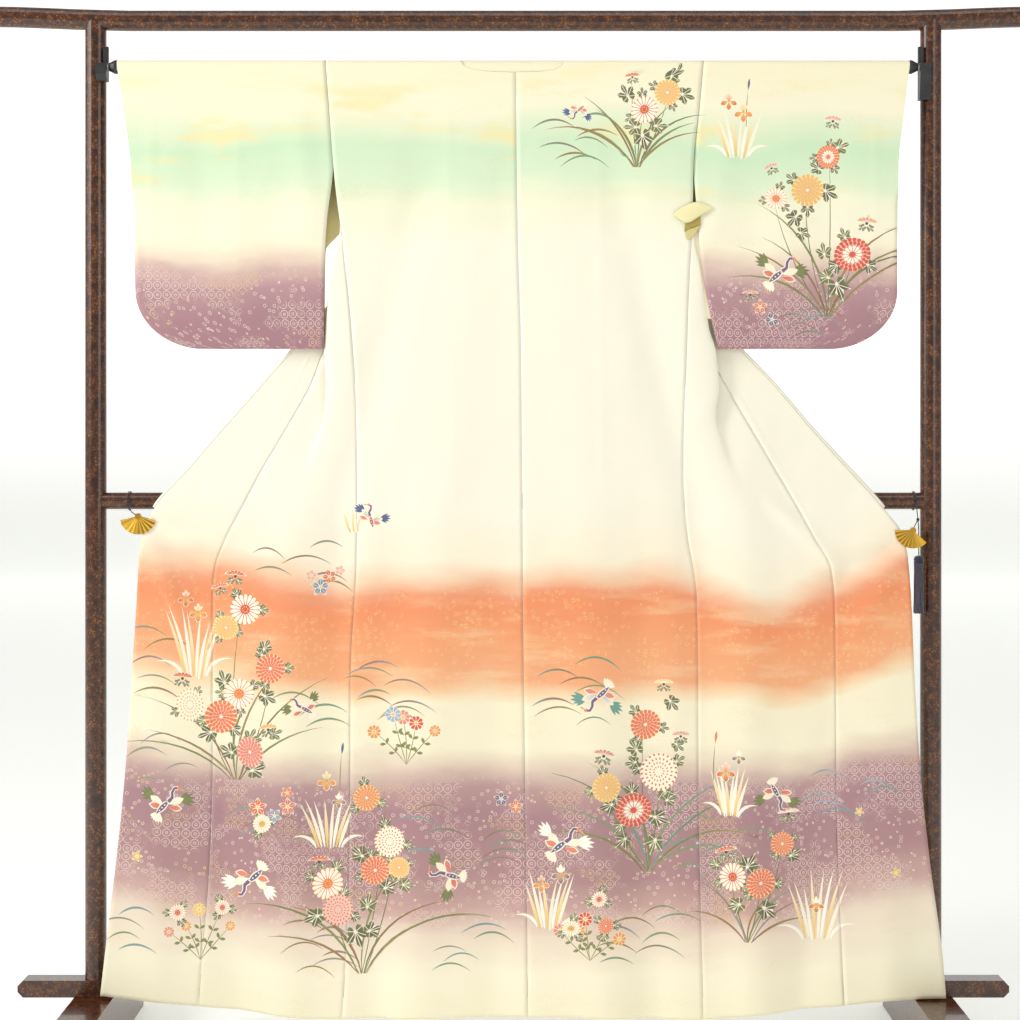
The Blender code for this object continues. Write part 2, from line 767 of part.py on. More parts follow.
def stand():
    path = [
        (x, 0, TOP_RAIL_Z + TOP_RAIL_SWEEP * float(ease(630, 880, abs(x))))
        for x in TOP_RAIL_STATIONS
    ]
    sub_part(tube(path, TOP_RAIL_R, 8), "top_rail", "lacquer")
    saddle = cutter(tube(path, TOP_RAIL_R + SEAM_GAP, 8), "top_rail_clearance")
    rail = cylinder(MID_RAIL_R, (-POST_X, 0, MID_RAIL_Z), (POST_X, 0, MID_RAIL_Z), "X")
    sub_part(rail, "middle_rail", "lacquer")
    for side, name in ((-1, "left"), (1, "right")):
        low = (side * POST_X, 0, BAR_TOP + SEAM_GAP)
        high = (side * POST_X, 0, TOP_RAIL_Z)
        post = cylinder(POST_R, low, high, "Z")
        boolean(post, saddle)
        sub_part(post, "post_" + name, "lacquer")
        clear = cylinder(POST_R + SEAM_GAP, low, high, "Z")
        cutter(clear, "post_clearance_" + name)
        boolean(rail, clear)
        bracket(side, name)
        foot(side, name)
    bottom_bar()


def bottom_bar():
    low, high, far = BAR_TOP - BAR_TALL, BAR_TOP, BAR_HALF - BAR_CHAMFER
    right = [(far, low), (BAR_HALF, low + BAR_CHAMFER)]
    right += [(BAR_HALF, high - BAR_CHAMFER), (far, high)]
    corners = right + [(-x, z) for x, z in reversed(right)]
    bar = flat_outline(corners, BAR_DEEP, (0, 0, 0), (math.pi / 2, 0, 0))
    sub_part(bar, "bottom_bar", "lacquer", False)


def foot(side, name):
    """A sledge foot: level under the bar, sloped down to a rounded nose each way."""
    nose = [(150, FOOT_TALL), (190, 72), (215, 57), (226, 44), (FOOT_HALF, 28)]
    nose.append((FOOT_HALF, 0))
    corners = nose + [(-y, z) for y, z in reversed(nose)]
    turn = (math.pi / 2, 0, math.pi / 2)
    shape = flat_outline(corners, FOOT_WIDE, (side * POST_X, 0, 0), turn)
    sub_part(shape, "foot_" + name, "lacquer", False)


def bracket(side, name):
    """A flat hook, open upward, that holds the rod's pin; it is full width in front
    of the post and narrower where it runs beside it."""
    low = 1606.0 if side < 0 else 1575.0
    hook = [(-9, low), (-9, 1664), (-15.5, 1664), (-15.5, 1629), (-16.8, 1625.9)]
    hook += [(-20, 1624.5), (-23.2, 1625.9), (-24.5, 1629), (-24.5, 1634)]
    hook += [(-31, 1634), (-31, 1616), (-24, low)]
    middle = side * (BRACKET_NEAR + BRACKET_FAR) / 2
    turn = (math.pi / 2, 0, math.pi / 2)
    shape = flat_outline(hook, BRACKET_FAR - BRACKET_NEAR, (middle, 0, 0), turn)
    bpy.ops.mesh.primitive_cube_add(
        size=1,
        location=(side * 690.6 * MM, -8.375 * MM, 1620 * MM),
        scale=(22 * MM, 16.75 * MM, 150 * MM),
    )
    boolean(shape, cutter(bpy.context.object, "post_space_" + name))
    sub_part(shape, "bracket_" + name, "black", False)


def rod():
    half = ROD_HALF - SEAM_GAP
    profile = [(0, PIN_END), (PIN_R, PIN_END), (PIN_R, half), (ROD_R, half)]
    profile += [(radius, -height) for radius, height in reversed(profile)]
    bar = turned(profile, (0, ROD_Y, ROD_Z), (0, math.pi / 2, 0), steps=20)
    sub_part(bar, "rod", "silver", False)
    bore = PIN_R + SEAM_GAP
    knob = [(bore, KNOB_END), (6.5, KNOB_END), (8.4, 664.5), (10.4, 660.5)]
    knob += [(KNOB_R, 658.5), (KNOB_R, ROD_HALF), (bore, ROD_HALF)]
    for side, name in ((-1, "left"), (1, "right")):
        turn = (0, side * math.pi / 2, 0)
        shape = turned(knob, (0, ROD_Y, ROD_Z), turn, closed=True, steps=16)
        sub_part(shape, "rod_knob_" + name, "black", False)


# The fan clips with their cords, and the tassel


def fan_leaf(fan, depth, name):
    """A pleated leaf: spokes from the hub to the rim, pleats deepest at the rim."""
    across, up, middle, spread = fan
    spokes = 2 * FAN_PLEATS + 1
    turns = np.radians(np.linspace(middle - spread / 2, middle + spread / 2, spokes))
    rows = []
    for radius in (3.0, 16.0, FAN_R):
        pleat = FAN_PLEAT_DEPTH * radius / FAN_R * np.where(np.arange(spokes) % 2, 1, -1)
        x = across + radius * np.sin(turns)
        z = up - radius * np.cos(turns)
        rows.append(np.stack([x, depth + pleat, z], axis=-1))
    return cutter(cloth(name, rows, FAN_WALL, "gold"), name)


def held_cloth(fan):
    """Least and greatest depth of the cloth between a clip's leaves."""
    across, up, middle, spread = fan
    side = math.copysign(1, across)
    depths = []
    for turn in np.radians(np.linspace(middle - spread / 2, middle + spread / 2, 23)):
        for radius in np.linspace(0, FAN_R, 11):
            x, height = across + radius * math.sin(turn), up - radius * math.cos(turn)
            if abs(x) < outline(side, "edge", height):
                depths.append(float(front_depth(x, height)))
    return min(depths), max(depths)


def fan_clip(fan, name):
    """Two pleated leaves with the cloth between them, joined by the hub."""
    across, up = fan[:2]
    near, far = held_cloth(fan)
    off_cloth = WALL / 2 + SEAM_GAP + FAN_PLEAT_DEPTH + FAN_WALL / 2
    leaves = ((near - off_cloth, "_front_leaf"), (far + off_cloth, "_back_leaf"))
    front, back = leaves[0][0] - 1.6, leaves[1][0] + 1.6
    hub = cylinder(FAN_HUB_R, (across, front, up), (across, back, up), "Y", 18)
    for depth, end in leaves:
        boolean(hub, fan_leaf(fan, depth, name + end), "UNION")
    sub_part(hub, name, "gold")


def cord_loop(x):
    """One turn and a quarter round the middle rail, ending in front of it."""
    path = []
    for turn in np.linspace(-math.pi / 2, 2 * math.pi, int(1.25 * CORD_STEPS) + 1):
        y = -CORD_LOOP_R * math.cos(turn)
        z = MID_RAIL_Z - CORD_LOOP_R * math.sin(turn)
        path.append((x + CORD_PITCH * turn / (2 * math.pi), y, z))
    return path


def cords():
    reach = FAN_HUB_R + SEAM_GAP
    x, up = LEFT_FAN[:2]
    path = cord_loop(x - 20.0)
    path += [(x - 16.0, -20.0, 900.0), (x - 11.0, TASSEL_Y, 894.0)]
    path.append((x - reach * 0.86, TASSEL_Y, up + reach * 0.51))
    sub_part(tube(path, CORD_R), "cord_left", "cord")
    knot = (TASSEL_X - 1.4, TASSEL_Y, 881.0)
    path = cord_loop(TASSEL_X - 4.0)
    path += [(TASSEL_X - 1.6, -20.0, 898.0), knot, (TASSEL_X - 0.2, TASSEL_Y, 860.0)]
    path.append((TASSEL_X, TASSEL_Y, TASSEL_CAP_Z + SEAM_GAP))
    main = tube(path, CORD_R)
    x, up = RIGHT_FAN[:2]
    link_end = (x + reach * 0.42, TASSEL_Y, up + reach * 0.91)
    boolean(main, cutter(tube([knot, link_end], CORD_R), "cord_link"), "UNION")
    ball = [(0, 3.0), (1.7, 2.5), (2.7, 1.0), (2.7, -1.0), (1.7, -2.5), (0, -3.0)]
    knot_ball = cutter(turned(ball, knot, (0, 0, 0), steps=10), "cord_knot")
    boolean(main, knot_ball, "UNION")
    sub_part(main, "cord_right", "cord")


def tassel():
    """A bound head with strands fused into its underside."""
    top, low = TASSEL_CAP_Z, TASSEL_HEAD_Z
    profile = [(0, top), (3.2, top - 0.6), (5.8, top - 2.6), (7.6, top - 5.5)]
    profile += [(TASSEL_R, low + 1.5), (TASSEL_R, low - 1.5), (0, low - 1.5)]
    head = turned(profile, (TASSEL_X, TASSEL_Y, 0), (0, 0, 0), steps=20)
    points, faces = [], []
    for radius, count in STRAND_RINGS:
        for k in range(count):
            turn = 2 * math.pi * (k + 0.3 * radius) / count
            add_strand(points, faces, radius, turn, TASSEL_END_Z + 3.0 * (k * 5 % 3))
    mesh = bpy.data.meshes.new("tassel_strands")
    mesh.from_pydata([tuple(np.array(point) * MM) for point in points], [], faces)
    strands = bpy.data.objects.new("tassel_strands", mesh)
    boolean(head, cutter(strands, "tassel_strands"), "UNION")
    sub_part(head, "tassel", "tassel", False)


def add_strand(points, faces, radius, turn, end):
    """A three-sided strand, its root inside the head and its tip a little spread."""
    a, b, c, d, e, f = range(len(points), len(points) + 6)
    for level, ring in ((TASSEL_HEAD_Z, radius), (end, radius * 1.05)):
        for corner in range(3):
            angle = turn + corner * 2 * math.pi / 3
            x = TASSEL_X + ring * math.cos(turn) + STRAND_R * math.cos(angle)
            y = TASSEL_Y + ring * math.sin(turn) + STRAND_R * math.sin(angle)
            points.append((x, y, level))
    faces += [(a, b, c), (f, e, d), (b, a, d, e), (c, b, e, f), (a, c, f, d)]


stand()
rod()
for SIDE, SIDE_NAME in ((-1, "left"), (1, "right")):
    body_panel(SIDE, "body_" + SIDE_NAME)
    okumi_panel(SIDE, "okumi_" + SIDE_NAME)
    sleeve(SIDE, "sleeve_" + SIDE_NAME)
collar("collar")
fan_clip(LEFT_FAN, "fan_clip_left")
fan_clip(RIGHT_FAN, "fan_clip_right")
cords()
tassel()
bpy.context.view_layer.update()
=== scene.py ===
# %% [markdown]
# # A homongi kimono on its stand: the looks
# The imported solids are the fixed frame. This script lays a finer skin of silk over
# them, dyes it in soft bands, paints autumn flowers and cranes on it, and gives the
# stand, rod, clips, cords and tassel their finishes. Sizes are millimetres and MM
# turns them into metres. +Z is up and the garment's back faces -Y.

# %% Load the fixed frame
import math

import bpy
import numpy as np
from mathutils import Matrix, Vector
from mathutils.geometry import delaunay_2d_cdt


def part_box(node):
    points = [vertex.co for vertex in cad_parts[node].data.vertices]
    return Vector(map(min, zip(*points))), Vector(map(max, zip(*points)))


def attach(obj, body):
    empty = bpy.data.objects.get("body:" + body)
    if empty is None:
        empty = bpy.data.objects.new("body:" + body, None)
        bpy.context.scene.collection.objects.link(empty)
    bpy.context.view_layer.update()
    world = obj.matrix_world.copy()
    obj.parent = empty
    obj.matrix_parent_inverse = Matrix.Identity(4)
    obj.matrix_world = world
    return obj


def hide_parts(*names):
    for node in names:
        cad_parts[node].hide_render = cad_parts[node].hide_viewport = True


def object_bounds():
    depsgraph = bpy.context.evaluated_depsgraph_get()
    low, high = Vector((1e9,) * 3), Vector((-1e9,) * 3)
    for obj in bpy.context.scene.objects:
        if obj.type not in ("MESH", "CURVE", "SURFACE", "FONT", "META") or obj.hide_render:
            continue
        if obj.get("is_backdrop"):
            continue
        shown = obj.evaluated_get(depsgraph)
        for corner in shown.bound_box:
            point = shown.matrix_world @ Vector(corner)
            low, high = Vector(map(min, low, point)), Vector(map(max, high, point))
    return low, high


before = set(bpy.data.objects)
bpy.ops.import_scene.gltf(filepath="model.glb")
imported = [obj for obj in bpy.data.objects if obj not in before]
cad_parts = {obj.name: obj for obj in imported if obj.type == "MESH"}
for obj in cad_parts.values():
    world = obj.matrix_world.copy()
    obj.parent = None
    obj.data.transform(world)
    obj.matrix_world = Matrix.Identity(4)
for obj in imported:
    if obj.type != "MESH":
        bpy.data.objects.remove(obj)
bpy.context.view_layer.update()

MM = 0.001
print("solids:", len(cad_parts))

# %% [markdown]
# ## The garment's own sizes
# A kimono is straight strips of cloth, so a few tables give its whole outline. Each
# row is one height. Side is the side edge or side seam, seam the okumi seam and edge
# the front edge, as distances from the stand's middle. Fold and tuck are how far the
# hidden cloth between side and seam swings out and in. The alternative, reading the
# surface back from the solids, would give only their coarse facets.

# %% Sizes of the cloth and the rod
SEAM_GAP = 0.3
SKIN = 1.1
COLLAR_WALL = 2.0
COLLAR_SKIN = 1.6
ROD_R = 8.5
ROD_Y = -20.0
ROD_Z = 1629.0
CLOTH_R = ROD_R + 0.9 + COLLAR_WALL / 2
ARC = CLOTH_R * math.pi / 2
NECK_Z = 1618.0
NECK_DROP = ROD_Z - NECK_Z
NECK_HALF = 85.0
POINT_Z = 1321.0
SEWN_Z = 1464.0
HEM_Z = 60.0
HEM_EASE_Z = 700.0
COLLAR_END_Z = 900.0
SLEEVE_BOTTOM = 1163.0
SLEEVE_CORNER_TALL = 95.0
SLEEVE_CORNER_WIDE = 112.0
SLEEVE_EDGE_ROUND = 7.0
CUFF_CLOSED_Z = 1395.0
CUFF_OPEN_Z = 1432.0

ROW_NAMES = ("height", "side", "seam", "edge", "fold", "tuck")
LEFT_ROWS = (
    (1639, 310, 85, 85, 0, 0),
    (1560, 304, 121, 121, 0, 4),
    (1464, 297, 166, 166, 2, 12),
    (1400, 290, 195, 195, 10, 30),
    (1345, 282, 221, 221, 17, 45),
    (1321, 280, 232, 232, 23, 53),
    (1310, 279, 237, 241, 27, 57),
    (1252, 272, 268, 290, 34, 65),
    (1194, 267, 298, 338, 33, 66),
    (1160, 264.5, 315, 366, 31, 66),
    (1106, 261, 335, 413, 22, 55),
    (1027, 258.6, 378, 482, 10, 23),
    (962, 258, 416, 538, 7, 17),
    (900, 257.5, 448, 592.7, 4, 10),
    (850, 258, 474, 614, 2, 5),
    (797, 259, 493, 618.5, 0, 0),
    (748, 262, 495.8, 620.8, 0, 0),
    (615, 268.5, 495.9, 629, 0, 0),
    (455, 269, 496, 639.5, 0, 0),
    (300, 270, 500.5, 654, 0, 0),
    (114, 279, 515, 675, 0, 0),
    (60, 283, 519, 681, 0, 0),
)
RIGHT_ROWS = (
    (1639, 313.7, 85, 85, 0, 0),
    (1560, 306.5, 121, 121, 0, 4),
    (1464, 297, 164, 164, 2, 12),
    (1400, 296, 191, 191, 12, 30),
    (1345, 294, 216, 216, 19, 45),
    (1321, 292.7, 227, 227, 23, 52),
    (1310, 292, 233, 236.5, 26, 58),
    (1252, 289, 267, 291, 30, 65),
    (1194, 287, 300, 346, 32, 66),
    (1160, 286, 319, 378, 38, 62),
    (1106, 284, 350, 430, 36, 50),
    (1027, 281.5, 396, 497, 11, 22),
    (962, 280.6, 434, 556, 8, 17),
    (900, 283, 470, 611, 4, 10),
    (850, 288, 497, 645, 2, 5),
    (797, 298, 525, 652.5, 0, 0),
    (748, 303.5, 530, 656, 0, 0),
    (615, 305, 532, 661.5, 0, 0),
    (455, 305.5, 533, 671, 0, 0),
    (300, 308, 536, 686, 0, 0),
    (114, 312, 543, 709, 0, 0),
    (60, 313, 546, 713, 0, 0),
)
# Height, depth of the okumi seam, and how far the side edge lies off the back panel
FRONT_DEPTHS = (
    (1629, ROD_Y + CLOTH_R, 2 * CLOTH_R),
    (1464, -9.0, 17.6),
    (1400, -8.5, 10.5),
    (1345, -8.0, 0.0),
    (1252, -8.5, 0.0),
    (1160, -11.0, 0.0),
    (1106, -13.5, 0.0),
    (1027, -18.0, 0.0),
    (962, -22.0, 0.0),
    (883, -26.0, 0.0),
    (797, -28.5, 0.0),
    (600, -30.5, 0.0),
    (60, -31.0, 0.0),
)
# Height, and the depths of the loose pleats away from the back panel and towards it
PLEAT_DEPTHS = (
    (1629, 0.0, 0.0),
    (1560, 8.0, 4.0),
    (1464, 16.0, 7.5),
    (1400, 11.0, 7.0),
    (1345, 3.0, 4.0),
    (1290, 0.0, 0.0),
    (60, 0.0, 0.0),
)
# Height and distance of the centre back seam to the right of the stand's middle
CENTRE_LINE = (
    (1618, 4.4),
    (1346, 7.7),
    (1178, 12.7),
    (996, 14.3),
    (615, 17.6),
    (256, 22.6),
    (60, 24.0),
)
# The neck's cut: distance along the cloth from the rod's top, and from the middle
NECK_CUT = (
    (-ARC - ROD_Z + NECK_Z, 0.0),
    (-ARC - 9.8, 40.0),
    (-ARC - 6.3, 66.0),
    (-ARC, 80.0),
    (-ARC / 2, 83.5),
    (0.0, NECK_HALF),
    (ARC / 2, 87.0),
)
# Distance across and height of the hem
HEM_LINE = (
    (-690, 97),
    (-612, 89),
    (-490, 76),
    (-287, 58),
    (-100, 60),
    (100, 61),
    (292, 56),
    (383, 64),
    (527, 78),
    (640, 90.5),
    (720, 92),
)
# Soft hanging folds: where each runs at three heights, its half width, and its depth
# at the same heights (positive is away from the viewer)
FOLD_HEIGHTS = (60.0, 900.0, 1440.0)
SOFT_FOLDS = (
    ((-300, -282, -150), 34, (1.0, 6.0, 3.5)),
    ((330, 300, 168), 34, (1.5, 6.5, 3.5)),
    ((-165, -120, -60), 46, (-6.5, -3.0, -1.5)),
    ((150, 120, 60), 46, (-7.0, -3.0, -1.5)),
    ((-30, -20, -20), 40, (6.5, 1.0, 1.0)),
    ((-232, -200, -250), 38, (7.5, 2.0, 0.0)),
    ((232, 215, 240), 38, (7.0, 2.0, 0.0)),
    ((-372, -370, -390), 40, (-7.0, -4.0, 0.0)),
    ((398, 385, 390), 40, (-7.5, -4.5, 0.0)),
    ((-455, -520, -520), 36, (6.0, 1.5, 0.0)),
    ((478, 555, 560), 36, (7.0, 1.5, 0.0)),
    ((-590, -585, -620), 38, (-5.5, 0.0, 0.0)),
    ((622, 610, 640), 38, (-6.0, 0.0, 0.0)),
)
# The sleeves: height, edge beside the body and outer edge
LEFT_SLEEVE = (
    (1639, 310, 654.8),
    (1560, 304, 643.0),
    (1464, 297, 630.5),
    (1373, 307.0, 627.4),
    (1300, 311.0, 625.0),
    (1163, 312.5, 622.0),
)
RIGHT_SLEEVE = (
    (1639, 313.7, 654.4),
    (1560, 306.5, 645.0),
    (1464, 297, 635.0),
    (1400, 301.0, 634.5),
    (1300, 310.0, 634.0),
    (1240, 320.0, 634.0),
    (1163, 337.5, 633.0),
)
# Height, middle depth and half the hollow's depth of a sleeve
SLEEVE_DEPTHS = (
    (1629, ROD_Y, CLOTH_R),
    (1464, -21.4, 8.8),
    (1300, -22.3, 6.4),
    (1163, -22.7, 5.0),
)

# %% [markdown]
# ## Curves, creases and small unevenness
# Every line of the outline is a smooth curve through its table. Three kinds of relief
# lie on top: the soft hanging folds, the pressed creases where the garment was folded
# away in its wrapper, and the pulls that run from the two clips. Cloth simulation
# would also give folds, but not the pressed ones, and it would move the outline that
# the solids fix, so the relief is written as troughs and ridges.

# %% Curves through the tables


def between(rows, column, at):
    """A smooth curve through a table's rows that never swings past a row's value:
    cubic pieces, each row's slope the harmonic mean of the slopes beside it."""
    table = np.array(sorted((row[0], row[column]) for row in rows), float)
    x, y = table[:, 0], table[:, 1]
    step = np.diff(x)
    rise = np.diff(y) / step
    pair = rise[:-1] * rise[1:]
    mean = np.where(pair > 0, 2 * pair / np.where(pair > 0, rise[:-1] + rise[1:], 1), 0)
    slope = np.concatenate([rise[:1], mean, rise[-1:]])
    at = np.clip(np.asarray(at, float), x[0], x[-1])
    i = np.clip(np.searchsorted(x, at, side="right") - 1, 0, len(x) - 2)
    t = (at - x[i]) / step[i]
    return (
        (1 + 2 * t) * (1 - t) ** 2 * y[i]
        + t * (1 - t) ** 2 * step[i] * slope[i]
        + t * t * (3 - 2 * t) * y[i + 1]
        + t * t * (t - 1) * step[i] * slope[i + 1]
    )


def ease(low, high, at):
    """0 at low, 1 at high and a soft S between."""
    t = np.clip((np.asarray(at, float) - low) / (high - low), 0, 1)
    return t * t * (3 - 2 * t)


def outline(side, name, height):
    """Distance of one line of the outline from the stand's middle."""
    rows = LEFT_ROWS if side < 0 else RIGHT_ROWS
    line = between(rows, ROW_NAMES.index(name), height)
    if name != "edge":
        return line
    seam = between(rows, ROW_NAMES.index("seam"), height)
    return np.where(np.asarray(height) >= POINT_Z, seam, line)


def waves(x, z, seed, length, count=7):
    """Gentle unevenness, mostly between -1 and 1: a sum of sines that run every way,
    with wavelengths near the length given."""
    random = np.random.default_rng(seed)
    total = np.zeros(np.broadcast(x, z).shape)
    for _ in range(count):
        turn, phase = random.uniform(0, math.pi), random.uniform(0, 2 * math.pi)
        long = length * random.uniform(0.6, 1.6)
        along = x * math.cos(turn) + z * math.sin(turn)
        total = total + np.sin(2 * math.pi * along / long + phase)
    return total / math.sqrt(count) / 1.6


# %% Folds, pressed creases and pulls
# A crease runs from one point to another: its half width and its height, negative
# towards the viewer. Points are across and height.
CREASES = (
    ((-276, 1311), (-40, 1334), 7, -1.3),
    ((-40, 1334), (60, 1341), 7, -1.2),
    ((60, 1341), (276, 1336), 7, -1.3),
    ((-276, 1036), (-60, 1030), 8, -0.7),
    ((-187, 876), (80, 889), 8, -1.1),
    ((80, 889), (250, 881), 8, -0.6),
    ((309, 868), (507, 836), 8, -1.3),
    ((-535, 862), (-272, 868), 8, -1.2),
    ((-270, 566), (290, 560), 9, -0.5),
    ((-560, 560), (-300, 566), 9, -0.5),
    ((320, 560), (620, 552), 9, -0.5),
    ((-106, 1560), (-98, 900), 6, -0.6),
    ((140, 1560), (146, 960), 6, -0.6),
    ((-335, 1160), (-469, 883), 2.4, -0.8),
    ((363, 1100), (505, 852), 2.4, -0.8),
    ((-557, 920), (-467, 873), 3, -0.8),
    ((592, 890), (504, 841), 3, -0.8),
)
PULLS = (
    ((640, 846), (524, 776), 17, 5.0),
    ((640, 856), (500, 830), 15, -3.6),
    ((648, 838), (560, 690), 20, -3.2),
    ((420, 915), (540, 800), 14, -3.0),
    ((-600, 866), (-500, 800), 16, 3.6),
    ((-604, 872), (-470, 850), 14, -2.8),
    ((-606, 862), (-540, 700), 18, -2.6),
)


def ridge(x, z, start, end, half_width, depth):
    """A rounded ridge along a line, fading out at its ends: the depth times
    exp(-(distance / half width)^2)."""
    start, end = np.array(start, float), np.array(end, float)
    run = end - start
    long = float(np.linalg.norm(run))
    run = run / long
    along = (x - start[0]) * run[0] + (z - start[1]) * run[1]
    off = (z - start[1]) * run[0] - (x - start[0]) * run[1]
    fade = ease(-1.2 * half_width, 1.8 * half_width, along)
    fade = fade * ease(long + 1.2 * half_width, long - 1.8 * half_width, along)
    return depth * np.exp(-((off / half_width) ** 2)) * fade


def soft_folds(x, height):
    """Depth of the hanging folds: bell-shaped troughs and ridges down the cloth."""
    depth = np.zeros(np.broadcast(x, height).shape)
    for across, half_width, deep in SOFT_FOLDS:
        centre = np.interp(height, FOLD_HEIGHTS, across)
        most = np.interp(height, FOLD_HEIGHTS, deep)
        depth = depth + most * np.exp(-(((x - centre) / half_width) ** 2))
    return depth * ease(1600.0, 1400.0, height)


def relief(x, z):
    """Creases, pulls and unevenness of the spread cloth, the same on every layer."""
    depth = 0.8 * waves(x, z * 0.55, 3, 150.0) * ease(1600.0, 1450.0, z)
    depth = depth + 0.28 * waves(x, z, 5, 46.0) * ease(1600.0, 1500.0, z)
    for line in CREASES + PULLS:
        depth = depth + ridge(x, z, *line)
    return depth


def back_plane(height):
    """Depth of the back before its folds: it hangs down from the rod, and comes 1 mm
    nearer the viewer on its way down to a height of 1000."""
    return ROD_Y - CLOTH_R - ease(ROD_Z, 1000.0, height)


def front_depth(x, height):
    """Depth of the cloth at the okumi seam and beyond it."""
    free = ease(1160.0, 900.0, height)
    return between(FRONT_DEPTHS, 1, height) + free * soft_folds(x, height)


def hem_lift(x):
    return between(HEM_LINE, 1, x) - HEM_Z


def to_hem(x, height):
    """Heights near the hem follow the hem's own curve."""
    return height + hem_lift(x) * ease(HEM_EASE_Z, HEM_Z, height)


def from_hem(x, z):
    """The cloth's height at a place of the photo's plane: to_hem turned round."""
    height = np.array(z, float)
    for _ in range(8):
        height = z - hem_lift(x) * ease(HEM_EASE_Z, HEM_Z, height)
    return height


def over_rod(x, along, off=0.0):
    """A place on cloth that lies over the rod. Along is its distance from the rod's
    top, positive on the far side; off is how far it lies off the cloth."""
    along = np.asarray(along, float)
    angle = np.clip(along / CLOTH_R, -math.pi / 2, math.pi / 2)
    drop = np.maximum(np.abs(along) - ARC, 0)
    y = ROD_Y + (CLOTH_R + off) * np.sin(angle)
    z = ROD_Z + (CLOTH_R + off) * np.cos(angle) - drop
    return np.stack(np.broadcast_arrays(x, y, z), axis=-1).astype(float)


def height_at(along):
    """Height of the cloth at a distance from the rod's top."""
    angle = np.clip(np.abs(along) / CLOTH_R, 0, math.pi / 2)
    return ROD_Z + CLOTH_R * np.cos(angle) - np.maximum(np.abs(along) - ARC, 0)


def along_at(height):
    return ARC + ROD_Z - height


def neck_edge(side, along):
    """Across place of the neck's cut edge, which starts on the centre back seam, or
    of the okumi seam below the rod."""
    distance = np.interp(along, *zip(*NECK_CUT))
    lean = CENTRE_LINE[0][1] * (1 - distance / NECK_HALF)
    seam = side * outline(side, "seam", height_at(along))
    return np.where(np.asarray(along) >= ARC, seam, side * distance + lean)


# %% [markdown]
# ## The panels as surfaces
# Each panel is a function from cloth coordinates to space: t runs across the strip
# from 0 to 1 and along runs down it from the rod's top, negative on the viewer's side.
# The grid of the mesh and the outlines of the painted flowers both go through the same
# function, so paint and silk share one surface.

# %% The body, okumi and sleeve surfaces


def back_edges(side, height):
    """Across places of the side seam and the centre back seam."""
    outer = side * (outline(side, "side", height) - SEAM_GAP / 2)
    inner = between(CENTRE_LINE, 1, height) + side * SEAM_GAP / 2
    return outer, inner


def back_layer(side, t, height):
    outer, inner = back_edges(side, height)
    x = outer + (inner - outer) * t
    z = to_hem(x, height)
    y = back_plane(height) + soft_folds(x, height) + relief(x, z)
    return np.stack([x, y, z], axis=-1)


def shoulder_layer(side, t, along):
    outer = side * (outline(side, "side", height_at(along)) - SEAM_GAP / 2)
    inner = neck_edge(side, along)
    return over_rod(outer + (inner - outer) * t, along)


def front_across(side, t, height):
    """The strip between side seam and okumi seam is wider than the way across, so it
    swings out past the side seam and in behind it: one turn of a sine."""
    start = side * (outline(side, "side", height) + SEAM_GAP / 2)
    sewn = np.where(np.asarray(height) < POINT_Z, SEAM_GAP / 2, 0.0)
    end = side * (outline(side, "seam", height) - sewn)
    fold, tuck = outline(side, "fold", height), outline(side, "tuck", height)
    swing = (fold + (tuck - fold) * ease(0.2, 0.8, t)) * np.sin(2 * math.pi * t)
    return start + (end - start) * t + side * swing, start, end, fold


def front_layer(side, t, height):
    """Depth is gained where the swing turns, or in its middle where it is slight."""
    x, start, end, fold = front_across(side, t, height)
    folded = 2 * math.pi * fold / np.maximum(np.abs(end - start), 1.0)
    underarm = ease(1240.0, 1290.0, height)
    at_turns = 0.85 * np.clip(folded - 0.8, 0, 1) * (1 - underarm)
    at_middle = 0.8 * ease(1110.0, 1065.0, height) + 0.9 * underarm
    gained = t - at_turns * np.sin(4 * math.pi * t) / (4 * math.pi)
    gained = gained - at_middle * np.sin(2 * math.pi * t) / (2 * math.pi)
    own = soft_folds(x, height) - soft_folds(start, height)
    first = back_plane(height) + soft_folds(start, height)
    first = first + between(FRONT_DEPTHS, 2, height) + own * ease(1345.0, 1000.0, height)
    away, towards = (between(PLEAT_DEPTHS, column, height) for column in (1, 2))
    pleat = (away + (towards - away) * ease(0.3, 0.7, t)) * np.sin(2 * math.pi * t)
    pleat = pleat * (1 - (1 - t) ** 4)
    z = to_hem(x, height)
    y = first + (front_depth(x, height) - first) * gained + pleat + relief(x, z)
    return np.stack([x, y, z], axis=-1)


def body_surface(side, t, along):
    """Back, shoulder and front in one length of cloth."""
    height = height_at(along)
    place = shoulder_layer(side, t, along)
    back, front = along < -ARC - NECK_DROP, along > ARC
    place = np.where(back[:, None], back_layer(side, t, height), place)
    return np.where(front[:, None], front_layer(side, t, height), place)


def okumi_edges(side, height):
    inner = side * (outline(side, "seam", height) + SEAM_GAP / 2)
    return inner, side * outline(side, "edge", height)


def okumi_surface(side, t, along):
    height = height_at(along)
    inner, outer = okumi_edges(side, height)
    x = inner + (outer - inner) * t
    z = to_hem(x, height)
    return np.stack([x, front_depth(x, height) + relief(x, z), z], axis=-1)


def sleeve_edges(side, height):
    """Across places beside the body and at the outer edge, with its round corner."""
    rows = LEFT_SLEEVE if side < 0 else RIGHT_SLEEVE
    inner = between(rows, 1, height)
    inner = np.where(height >= SEWN_Z, outline(side, "side", height), inner)
    into = (SLEEVE_BOTTOM + SLEEVE_CORNER_TALL - height) / SLEEVE_CORNER_TALL
    round_off = 1 - np.sqrt(1 - np.clip(into, 0, 1) ** 2)
    outer = between(rows, 2, height) - SLEEVE_CORNER_WIDE * round_off
    return side * (inner + SEAM_GAP * 1.5), side * outer


